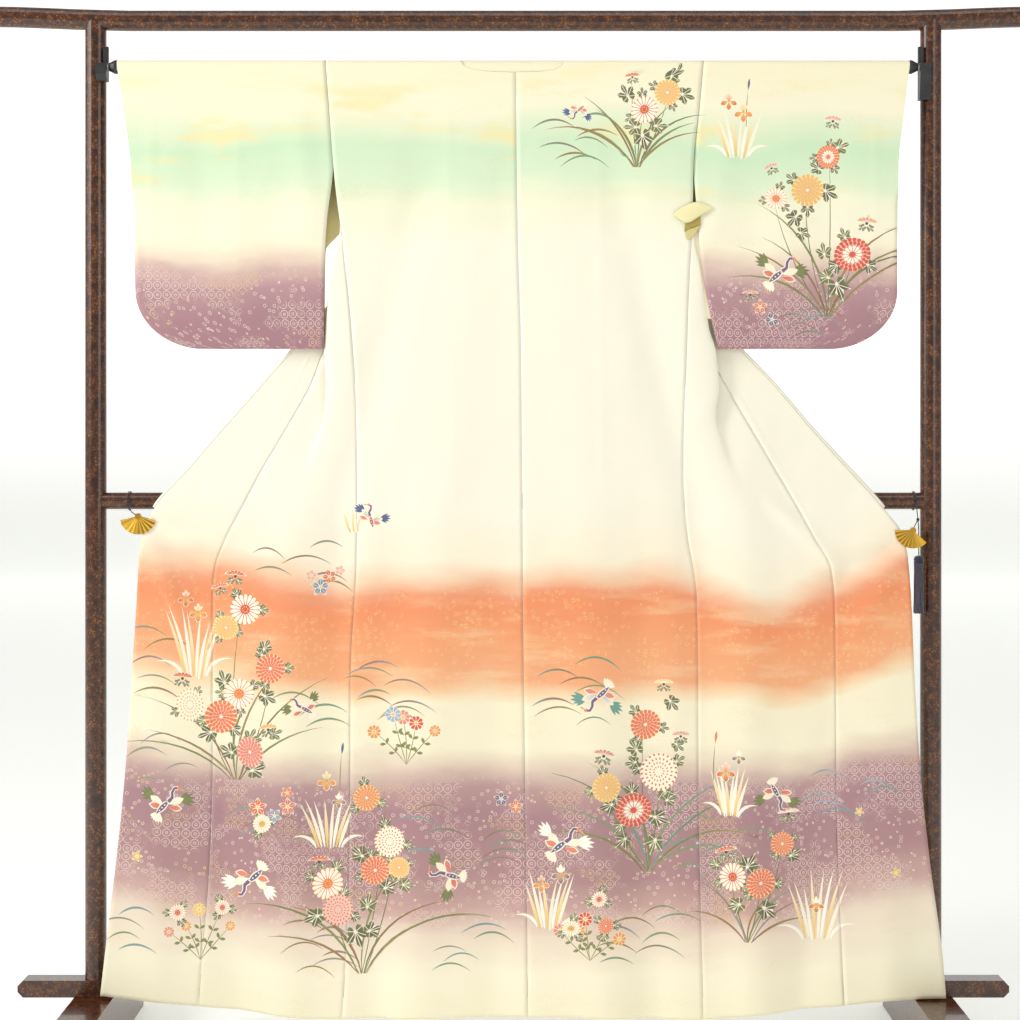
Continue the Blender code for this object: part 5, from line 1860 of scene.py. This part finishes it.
OVER_ROD = even(-ARC + STEP_OVER, ARC - STEP_OVER, STEP_OVER)
SLEEVE_DOWN = np.concatenate([-SLEEVE_LAYER, OVER_ROD, SLEEVE_LAYER[::-1]])
SLEEVE_ACROSS = np.concatenate([even(0.0, 0.955, 1 / 46), 1 - EDGE_STEPS[::-1] / SLEEVE_WIDE])

# How far from the middle the design reaches on each panel, the height of the front's
# highest paint, and the bare margin at a sleeve's lower end
BACK_PAINT = (-40.0, 330.0)
FRONT_PAINT = (240.0, 560.0)
OKUMI_PAINT = (380.0, 760.0)
SLEEVE_PAINT = (300.0, 660.0)
FRONT_PAINT_TOP = 1060.0
PAINT_MARGIN = 4.0

CLOTH = []
for side, word in ((-1, "left"), (1, "right")):
    back = carried(to_back, side, *BACK_PAINT)
    front = carried(to_front, side, *FRONT_PAINT)
    front = [piece for piece in front if piece[0][:, 1].min() > along_at(FRONT_PAINT_TOP)]
    piece = panel(
        f"silk_body_{word}",
        body_surface,
        side,
        BODY_ACROSS,
        np.unique(np.round(BODY_DOWN, 3)),
        BODY_WIDE,
        back + front,
        body_dye,
        (BODY_SILK, LINING),
        -1,
    )
    CLOTH.append((piece, f"body_{word}"))
    piece = panel(
        f"silk_okumi_{word}",
        okumi_surface,
        side,
        OKUMI_ACROSS,
        np.sort(OKUMI_DOWN),
        OKUMI_WIDE,
        carried(to_okumi, side, *OKUMI_PAINT),
        okumi_dye,
        (BODY_SILK, LINING),
        -1,
    )
    CLOTH.append((piece, f"okumi_{word}"))
    to_cut, flip = (to_sleeve, 1.0) if side > 0 else (far_sleeve, -1.0)
    sleeve = carried(to_cut, side, *SLEEVE_PAINT, flip)
    sleeve = [s for s in sleeve if np.abs(s[0][:, 1]).max() < SLEEVE_LONG - PAINT_MARGIN]
    piece = panel(
        f"silk_sleeve_{word}",
        sleeve_surface,
        side,
        np.unique(np.round(SLEEVE_ACROSS, 5)),
        np.unique(np.round(SLEEVE_DOWN, 3)),
        SLEEVE_WIDE,
        sleeve,
        sleeve_dye,
        (SLEEVE_SILK, SLEEVE_LINING),
    )
    CLOTH.append((piece, f"sleeve_{word}"))

# %% Cut of each panel
# Sewn width and length of the strip that each panel is cut to, in metres, an estimate
# of the part of that rectangle that it fills, and what holds it
CUTS = {
    "body": ((0.27, 3.16), 0.83, ["rod"]),
    "okumi": ((0.15, 1.26), 0.62, ["fan_clip"]),
    "sleeve": ((0.33, 0.98), 0.98, ["rod"]),
}
for piece, node in CLOTH:
    give_thickness(piece, SKIN, lining=1)
    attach(piece, "root")
    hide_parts(node)
    kind, word = node.split("_")
    flat, filled, holders = CUTS[kind]
    holders = [f"{name}_{word}" if name == "fan_clip" else name for name in holders]

# %% [markdown]
# ## The collar
# The collar is one folded strip. Round the neck it lies level over the rod, and down
# the fronts it turns round the panel's edge behind it. Each half is a run of cross
# sections from the centre back to the strip's end.

# %% Sections of the collar
# Length and direction (as a part of the collar's turn) of each piece of the hook
COLLAR_HOOK = ((1.2, 1.0), (2.4, 5 / 6), (2.4, 0.5), (2.4, 1 / 6))
COLLAR_STRAIGHT = np.linspace(0, 1, 15)[1:]
COLLAR_WIDE_END = 105.0
COLLAR_WIDE_TOP = 91.0
COLLAR_STEADY_Z = 930.0
COLLAR_SPLIT_Z = 1586.0
TWIST_GAP = 1.5
COLLAR_DYE_TOP = 1630.0
# Place across a panel from which the way into its seam is measured
SEAM_RUN_FROM = 14 / 15


def collar_seam(side, along):
    """The seam line on the cloth laid flat: place across, and along from the rod."""
    if along > ARC:
        return np.array([side * float(outline(side, "edge", height_at(along))), along])
    return np.array([float(neck_edge(side, along)), along])


def seam_inward(side, along):
    """Direction on the flat cloth square to the seam line, away from its panel."""
    run = collar_seam(side, along + 3.0) - collar_seam(side, along - 3.0)
    run = run / np.linalg.norm(run)
    return np.array([-side * run[1], side * run[0]])


def on_collar(point, off):
    """From the flat strip to the hanging one; off is the depth behind its panel."""
    x, along = point
    if along <= ARC:
        return over_rod(x, along, off)
    height = float(height_at(along))
    z = float(to_hem(x, height))
    return np.array([x, float(front_depth(x, height)) + off + float(relief(x, z)), z])


def neck_row(side, along):
    """Round the neck the strip spans from the seam to the centre back, level."""
    seam = collar_seam(side, along) + SEAM_GAP * seam_inward(side, along)
    level = along + SEAM_GAP
    if along < NECK_CUT[2][0]:
        level = NECK_CUT[0][0] + SEAM_GAP
    middle = np.array([CENTRE_LINE[0][1], level if along < ARC else seam[1]])
    reach = [sum(length for length, _ in COLLAR_HOOK[:i]) for i in range(5)]
    wide = float(np.linalg.norm(middle - seam))
    reach += [reach[-1] + (wide - reach[-1]) * part for part in COLLAR_STRAIGHT]
    return np.array([on_collar(seam + (middle - seam) * run / wide, 0.0) for run in reach])


def hook_turn(side, height):
    """Angle between the way a panel runs into its seam and the strip's own way."""
    if height < POINT_Z:
        return math.pi
    last = front_layer(side, np.array([SEAM_RUN_FROM, 1.0]), np.array([height, height]))
    run = last[1] - last[0]
    return abs(math.atan2(run[1], -side * run[0]))


def front_collar_row(side, height):
    """From the seam, round the panel's edge, then straight across to the free edge."""
    along = along_at(height)
    inward = seam_inward(side, min(along, along_at(COLLAR_STEADY_Z)))
    ends = (COLLAR_END_Z, COLLAR_SPLIT_Z)
    wide = np.interp(height, ends, (COLLAR_WIDE_END, COLLAR_WIDE_TOP))
    turn = hook_turn(side, height)
    seam = collar_seam(side, along)
    gap = SEAM_GAP + TWIST_GAP * math.sin(turn)
    across, off = gap * math.cos(turn), gap * math.sin(turn)
    row = [on_collar(seam + inward * across, off)]
    for length, part in COLLAR_HOOK:
        across += length * math.cos(turn * part)
        off += length * math.sin(turn * part)
        row.append(on_collar(seam + inward * across, off))
    for part in COLLAR_STRAIGHT:
        run = across + (wide - across) * part
        row.append(on_collar(seam + inward * run, off))
    return np.array(row)


NECK_ROWS = [*[row[0] for row in NECK_CUT[1:]], ARC, along_at(COLLAR_SPLIT_Z)]
FRONT_ROWS = even(COLLAR_SPLIT_Z, COLLAR_END_Z, 9.0)[1:]
halves = []
for side in (-1, 1):
    rows = [neck_row(side, along) for along in NECK_ROWS]
    rows += [front_collar_row(side, height) for height in FRONT_ROWS]
    halves.append(np.array(rows)[:, ::-side])
count, columns = halves[0].shape[:2]
index = np.arange(2 * count * columns).reshape(2, count, columns)
index[1, : len(NECK_ROWS), 0] = index[0, : len(NECK_ROWS), -1]


def grid_faces(index):
    corners = (index[:-1, :-1], index[:-1, 1:], index[1:, 1:], index[1:, :-1])
    return np.stack(corners, axis=-1).reshape(-1, 4)


faces = np.concatenate([grid_faces(index[0]), grid_faces(index[1])])
used, faces = np.unique(faces, return_inverse=True)
points = np.array(halves).reshape(-1, 3)[used]
downs = np.array([*NECK_ROWS, *along_at(FRONT_ROWS)])
flat = np.stack(
    np.broadcast_arrays(np.linspace(0, 110, columns)[None, None], downs[None, :, None]),
    axis=-1,
)
flat = np.broadcast_to(flat, (2, count, columns, 2)).reshape(-1, 2)[used]
mesh = new_mesh("silk_collar", points, faces.reshape(-1, 4))
set_uv(mesh, "cloth", flat)
set_point_value(mesh, "dye", np.minimum(points[:, 2], COLLAR_DYE_TOP) * MM)
set_corner_colour(mesh, "paint", np.zeros((len(mesh.loops), 4)))
collar = new_piece("silk_collar", mesh, BODY_SILK, LINING)
give_thickness(collar, COLLAR_SKIN, lining=1)
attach(collar, "root")
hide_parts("collar")

# %% [markdown]
# ## Cords and tassel
# A black silk cord goes a turn and a quarter round the middle rail and down to each
# fan. The right one carries a tassel. The cords follow the solids' own route, smoothed
# by a curve through its points, and the tassel is a wound head over loose threads.

# %% Routes of the cords
CORD_R = 0.8
CORD_LOOP_R = 15.5
CORD_PITCH = 2.4
CORD_TURNS = 1.25
RAIL_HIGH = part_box("middle_rail")
MID_RAIL_Z = (RAIL_HIGH[0][2] + RAIL_HIGH[1][2]) / 2 / MM
# The tassel's place, the heights of its cap, its head's foot and its threads' ends,
# and the across place and height of each fan's hub
TASSEL = ((669.0, -27.1), 822.0, 812.0, 726.0)
LEFT_FAN = (-619.0, 886.5)
RIGHT_FAN = (659.0, 863.5)
HUB_REACH = 5.0 + SEAM_GAP


def cord_loop(x):
    turn = 2 * math.pi * (1 - np.linspace(CORD_TURNS, 0, 61))
    across = x + CORD_PITCH * turn / (2 * math.pi)
    ring = (across, -CORD_LOOP_R * np.cos(turn), MID_RAIL_Z - CORD_LOOP_R * np.sin(turn))
    return np.stack(ring, axis=-1)


def smooth_route(points, each=8):
    """Catmull-Rom: each stretch is a cubic through its own two points, its slopes
    half the way between the neighbours."""
    points = np.array(points, float)
    padded = np.concatenate([points[:1], points, points[-1:]])
    s = np.linspace(0, 1, each, endpoint=False)[:, None]
    made = []
    for a, b, c, d in zip(padded, padded[1:], padded[2:], padded[3:]):
        made.append(
            b + (c - a) * s / 2 + (2 * a - 5 * b + 4 * c - d) * s**2 / 2
            + (3 * b - a - 3 * c + d) * s**3 / 2
        )
    return np.concatenate([*made, points[-1:]])


def cord_piece(name, points, material):
    curve = bpy.data.curves.new(name, "CURVE")
    curve.dimensions = "3D"
    spline = curve.splines.new("POLY")
    spline.points.add(len(points) - 1)
    places = np.concatenate([points * MM, np.ones((len(points), 1))], axis=1)
    spline.points.foreach_set("co", places.ravel())
    curve.bevel_depth = CORD_R * MM
    curve.bevel_resolution = 3
    curve.use_fill_caps = True
    piece = bpy.data.objects.new(name, curve)
    curve.materials.append(material)
    bpy.context.scene.collection.objects.link(piece)
    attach(piece, "root")
    return piece


def long_of(points):
    return float(np.linalg.norm(np.diff(points, axis=0), axis=1).sum()) * MM


def cord_cut(low):
    """Length of a cord that is wound round the rail and hangs to the height low:
    turns x 2 pi r + drop from the rail's middle, in metres."""
    return (CORD_TURNS * 2 * math.pi * CORD_LOOP_R + MID_RAIL_Z - low) * MM


(tassel_x, tassel_y), cap_top, head_low, tassel_end = TASSEL
left_x, left_up = LEFT_FAN
loop = cord_loop(left_x - 20.0)
route = [loop[-1], (left_x - 16.0, -20.0, 900.0), (left_x - 11.0, tassel_y, 894.0)]
route.append((left_x - HUB_REACH * 0.86, tassel_y, left_up + HUB_REACH * 0.51))
left_route = np.concatenate([loop[:-1], smooth_route(route)])
knot = (tassel_x - 1.4, tassel_y, 881.0)
loop = cord_loop(tassel_x - 4.0)
route = [loop[-1], (tassel_x - 1.6, -20.0, 898.0), knot, (tassel_x - 0.2, tassel_y, 860.0)]
route.append((tassel_x, tassel_y, cap_top + SEAM_GAP))
right_route = np.concatenate([loop[:-1], smooth_route(route)])
fan_end = (RIGHT_FAN[0] + HUB_REACH * 0.42, tassel_y, RIGHT_FAN[1] + HUB_REACH * 0.91)
print("left cord, cut and laid, mm:", cord_cut(left_up) / MM, long_of(left_route) / MM)
print("right cord, cut and laid, mm:", cord_cut(cap_top) / MM, long_of(right_route) / MM)


# %% Tassel and knot


def lathe(name, profile, centre, steps, material):
    """A profile of (radius, height) turned round the upright line through centre."""
    turn = np.linspace(0, 2 * math.pi, steps, endpoint=False)
    r, z = np.array(profile, float).T
    x = centre[0] + r[:, None] * np.cos(turn)
    y = centre[1] + r[:, None] * np.sin(turn)
    points = np.stack([x, y, np.broadcast_to(z[:, None], x.shape)], axis=-1)
    index = np.arange(x.size).reshape(x.shape)
    index = np.concatenate([index, index[:, :1]], axis=1)
    return new_piece(name, new_mesh(name, points.reshape(-1, 3), grid_faces(index)), material)


def tassel_threads(count=170):
    """Threads that leave the head evenly and end a little ragged: thin five-sided
    tubes, laid by the golden angle so that they fill the round."""
    k = np.arange(count)
    spread = 7.6 * np.sqrt((k + 0.5) / count)
    turn = k * math.pi * (3 - math.sqrt(5))
    s = np.linspace(0, 1, 7)[:, None]
    wide = spread * (1 + 0.1 * s + 0.04 * np.sin(5 * s + k))
    x = tassel_x + wide * np.cos(turn) + 0.25 * np.sin(9 * s + 2 * k)
    y = tassel_y + wide * np.sin(turn) + 0.25 * np.cos(8 * s + k)
    low = tassel_end + 3.0 * ((k * 7) % 5) / 4
    z = head_low - (head_low - low) * s
    around = np.linspace(0, 2 * math.pi, 5, endpoint=False)
    ring = 0.5 * np.stack([np.cos(around), np.sin(around), 0 * around], axis=-1)
    points = np.stack([x, y, z], axis=-1)[:, :, None, :] + ring
    index = np.arange(7 * count * 5).reshape(7, count, 5)
    index = np.concatenate([index, index[:, :, :1]], axis=2)
    faces = [grid_faces(index[:, thread]) for thread in range(count)]
    mesh = new_mesh("tassel_threads", points.reshape(-1, 3), np.concatenate(faces))
    return new_piece("tassel_threads", mesh, TASSEL_THREAD)


windings = [(8.2 + 0.5 * math.cos(1.9 * k), head_low + 1.4 * k - 2.0) for k in range(6)]
head_profile = [(0.0, head_low - 2.0), *windings, (7.0, 819.4), (4.4, 821.2), (0.0, cap_top)]
head = lathe("tassel_head", head_profile, (tassel_x, tassel_y), 40, TASSEL_HEAD)
threads = tassel_threads()
ball = [(0.0, -3.0), (1.6, -2.5), (2.6, -1.1), (2.3, 0.0), (2.6, 1.1), (1.6, 2.5), (0.0, 3.0)]
ball = [(r, knot[2] + z) for r, z in ball]
cord_knot = lathe("cord_knot", ball, (knot[0], knot[1]), 20, CORD)
for piece in (head, threads):
    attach(piece, "root")
    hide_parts("tassel")
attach(cord_knot, "root")
left_cord = cord_piece("silk_cord_left", left_route, CORD)
right_cord = cord_piece("silk_cord_right", right_route, CORD)
cord_link = cord_piece("silk_cord_link", np.array([knot, fan_end]), CORD)
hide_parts("cord_left")
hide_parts("cord_right")

# %% [markdown]
# ## The turned-out corner
# At the right underarm a corner of the sleeve's open edge is turned out and shows its
# pale lining. Below it the lined inside lies in shadow, which is painted shade: a dark
# ochre lining on its own patch. The front panel's edge closes the slit behind it. Each
# is a small ruled patch between two soft curves.

# %% Patches of cloth at the right underarm
# Upper and lower curve of each patch (across, height), how far it stands before the
# sleeve's near layer, its bulge, its outer and inner finish, and its flat size in metres
UNDERARM = {
    "silk_turned_corner": (
        ((264, 1385), (279, 1396), (303, 1404), (327, 1395)),
        ((264, 1383), (286, 1370), (307, 1381), (327, 1393)),
        5.0, 2.5, (TURNED_LINING, SLEEVE_LINING), (0.065, 0.027),
    ),
    # Painted shade: this patch is coloured dark to stand for the shadowed inside
    "silk_corner_inside": (
        ((283, 1369), (293, 1376), (301, 1381), (308, 1383)),
        ((282, 1355), (289, 1360), (296, 1362), (308, 1366)),
        3.0, 0.0, (PAINTED_SHADE_LINING, PAINTED_SHADE_LINING), (0.026, 0.02),
    ),
    "silk_corner_tip": (
        ((283, 1356), (291, 1360), (298, 1362), (307, 1366)),
        ((283, 1354), (287, 1342), (296, 1347), (307, 1364)),
        2.6, 0.0, (SLEEVE_LINING, SLEEVE_LINING), (0.026, 0.017),
    ),
    "silk_front_edge": (
        ((291, 1366), (294, 1322), (301, 1284), (312, 1212)),
        ((310, 1366), (313, 1322), (320, 1284), (331, 1212)),
        -1.2, 0.0, (LINING, LINING), (0.156, 0.02),
    ),
}


def ruled_patch(upper, lower, out, bulge, count=9):
    """Straight lines between two smoothed curves, bulging by sin(pi u) sin(pi v)."""
    tops, lows = (smooth_route([(x, z, 0.0) for x, z in line]) for line in (upper, lower))
    v = np.linspace(0, 1, count)[None, :, None]
    flat = tops[:, None] * (1 - v) + lows[:, None] * v
    u = np.linspace(0, math.pi, len(tops))[:, None]
    swell = bulge * np.sin(u) * np.sin(math.pi * v[..., 0])
    z = flat[..., 1]
    near = between(SLEEVE_DEPTHS, 1, z) - between(SLEEVE_DEPTHS, 2, z)
    return np.stack([flat[..., 0], near - out - swell, z], axis=-1)


for name, (upper, lower, out, bulge, finishes, flat) in UNDERARM.items():
    points = ruled_patch(upper, lower, out, bulge)
    index = np.arange(points.shape[0] * points.shape[1]).reshape(points.shape[:2])
    mesh = new_mesh(name, points.reshape(-1, 3), grid_faces(index))
    patch = new_piece(name, mesh, *finishes)
    give_thickness(patch, SKIN, lining=1)
    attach(patch, "root")

# %% [markdown]
# ## The carried-over solids
# Posts, rails, feet, rod, brackets and clips keep their solids' shapes.

# %% Finishes of the solids
FINISHES = {
    "post": LACQUER,
    "foot": LACQUER,
    "bottom": LACQUER,
    "middle": LACQUER,
    "top": LACQUER,
    "rod": SILVER,
    "bracket": BLACK,
    "fan": GILT,
}
for name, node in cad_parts.items():
    if node.hide_render:
        continue
    finish = BLACK if "knob" in name else FINISHES[name.split("_")[0]]
    for old in range(len(node.material_slots)):
        node.material_slots[old].material = finish

# %% [markdown]
# ## Floor, light and camera
# The photograph looks square onto the garment, so the camera is level. It stands 3 m
# away, which is a guess, and has a small shift for its framing.

# %% Floor and backdrop
# Millimetres in the garment's plane for one pixel of the photo, its width in pixels,
# the camera's distance and height, its shift to the side, the height of the picture's
# middle, and the depth of the garment's plane
PX = 1.654
PHOTO_WIDE = 1020
CAMERA_FAR = 3000.0
CAMERA_HIGH = 1000.0
SIDE_SHIFT = -5.5
MIDDLE_HIGH = 896.5
GARMENT_PLANE = -20.0


def floor_material():
    n = Nodes("pale_studio_floor_with_painted_glow")
    place = n.add("TexCoord").outputs["Object"]
    cloud = n.noise(place, 1.5, 3.0)
    colour = n.mix(cloud, linear("#F4F4F2"), linear("#FAFAF8"))
    high = n.add("SeparateXYZ", {"Vector": place}).outputs["Z"]
    # Painted light and shade: the floor and wall glow, dimmer low on the floor and brighter up the wall
    painted_glow = n.mix(n.smooth(0.05, 2.0, high), linear("#BFC2BC"), linear("#FFFFFF"))
    return n.finish(
        Base_Color=colour,
        Roughness=0.6,
        Emission_Color=painted_glow,
        Emission_Strength=0.66,
    )


FLOOR_HALF = 12000.0
BEND = 1500.0
WALL_HIGH = 9000.0
across = np.linspace(-FLOOR_HALF, FLOOR_HALF, 25)
turn = np.linspace(0, math.pi / 2, 16)
start = FLOOR_HALF - BEND
profile_y = np.concatenate([[-FLOOR_HALF, 0.0], start + BEND * np.sin(turn), [FLOOR_HALF]])
profile_z = np.concatenate([[0.0, 0.0], BEND * (1 - np.cos(turn)), [WALL_HIGH]])
sweep = np.stack(
    np.broadcast_arrays(across[None, :], profile_y[:, None], profile_z[:, None]), axis=-1
)
index = np.arange(sweep.shape[0] * sweep.shape[1]).reshape(sweep.shape[:2])
floor = new_piece(
    "studio_floor",
    new_mesh("studio_floor", sweep.reshape(-1, 3), grid_faces(index)),
    floor_material(),
)
floor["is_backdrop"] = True

# %% Lights
world = bpy.data.worlds.new("studio")
world.use_nodes = True
background = world.node_tree.nodes["Background"]
background.inputs["Color"].default_value = (1.0, 0.99, 0.975, 1.0)
background.inputs["Strength"].default_value = 0.37
bpy.context.scene.world = world


def soft_light(name, place, aim, size, power, colour=(1.0, 0.985, 0.965)):
    light = bpy.data.lights.new(name, "AREA")
    light.shape = "RECTANGLE"
    light.size, light.size_y = size
    light.energy = power
    light.color = colour
    lamp = bpy.data.objects.new(name, light)
    bpy.context.scene.collection.objects.link(lamp)
    lamp.location = place
    lamp.rotation_euler = (Vector(aim) - Vector(place)).to_track_quat("-Z", "Y").to_euler()
    lamp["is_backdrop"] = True


soft_light("key_left", (-4.0, -1.7, 2.5), (0, 0, 1.0), (1.0, 1.8), 120)
soft_light("fill_right", (2.8, -3.0, 1.8), (0, 0, 0.9), (1.6, 2.4), 24)
soft_light("top_strip", (0.0, -1.0, 3.2), (0, 0, 1.2), (3.0, 0.8), 14)

# %% Camera
camera_data = bpy.data.cameras.new("camera")
view_wide = PX * PHOTO_WIDE
camera_data.sensor_width = 36.0
camera_data.lens = 36.0 * (CAMERA_FAR + GARMENT_PLANE) / view_wide
camera_data.shift_y = (MIDDLE_HIGH - CAMERA_HIGH) / view_wide
camera_data.clip_end = 30.0
camera = bpy.data.objects.new("camera", camera_data)
bpy.context.scene.collection.objects.link(camera)
camera.location = (SIDE_SHIFT * MM, -CAMERA_FAR * MM, CAMERA_HIGH * MM)
camera.rotation_euler = (math.pi / 2, 0, 0)
bpy.context.scene.camera = camera
bpy.context.scene.view_settings.view_transform = "Standard"

# %% Sizes and the end
low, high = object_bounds()
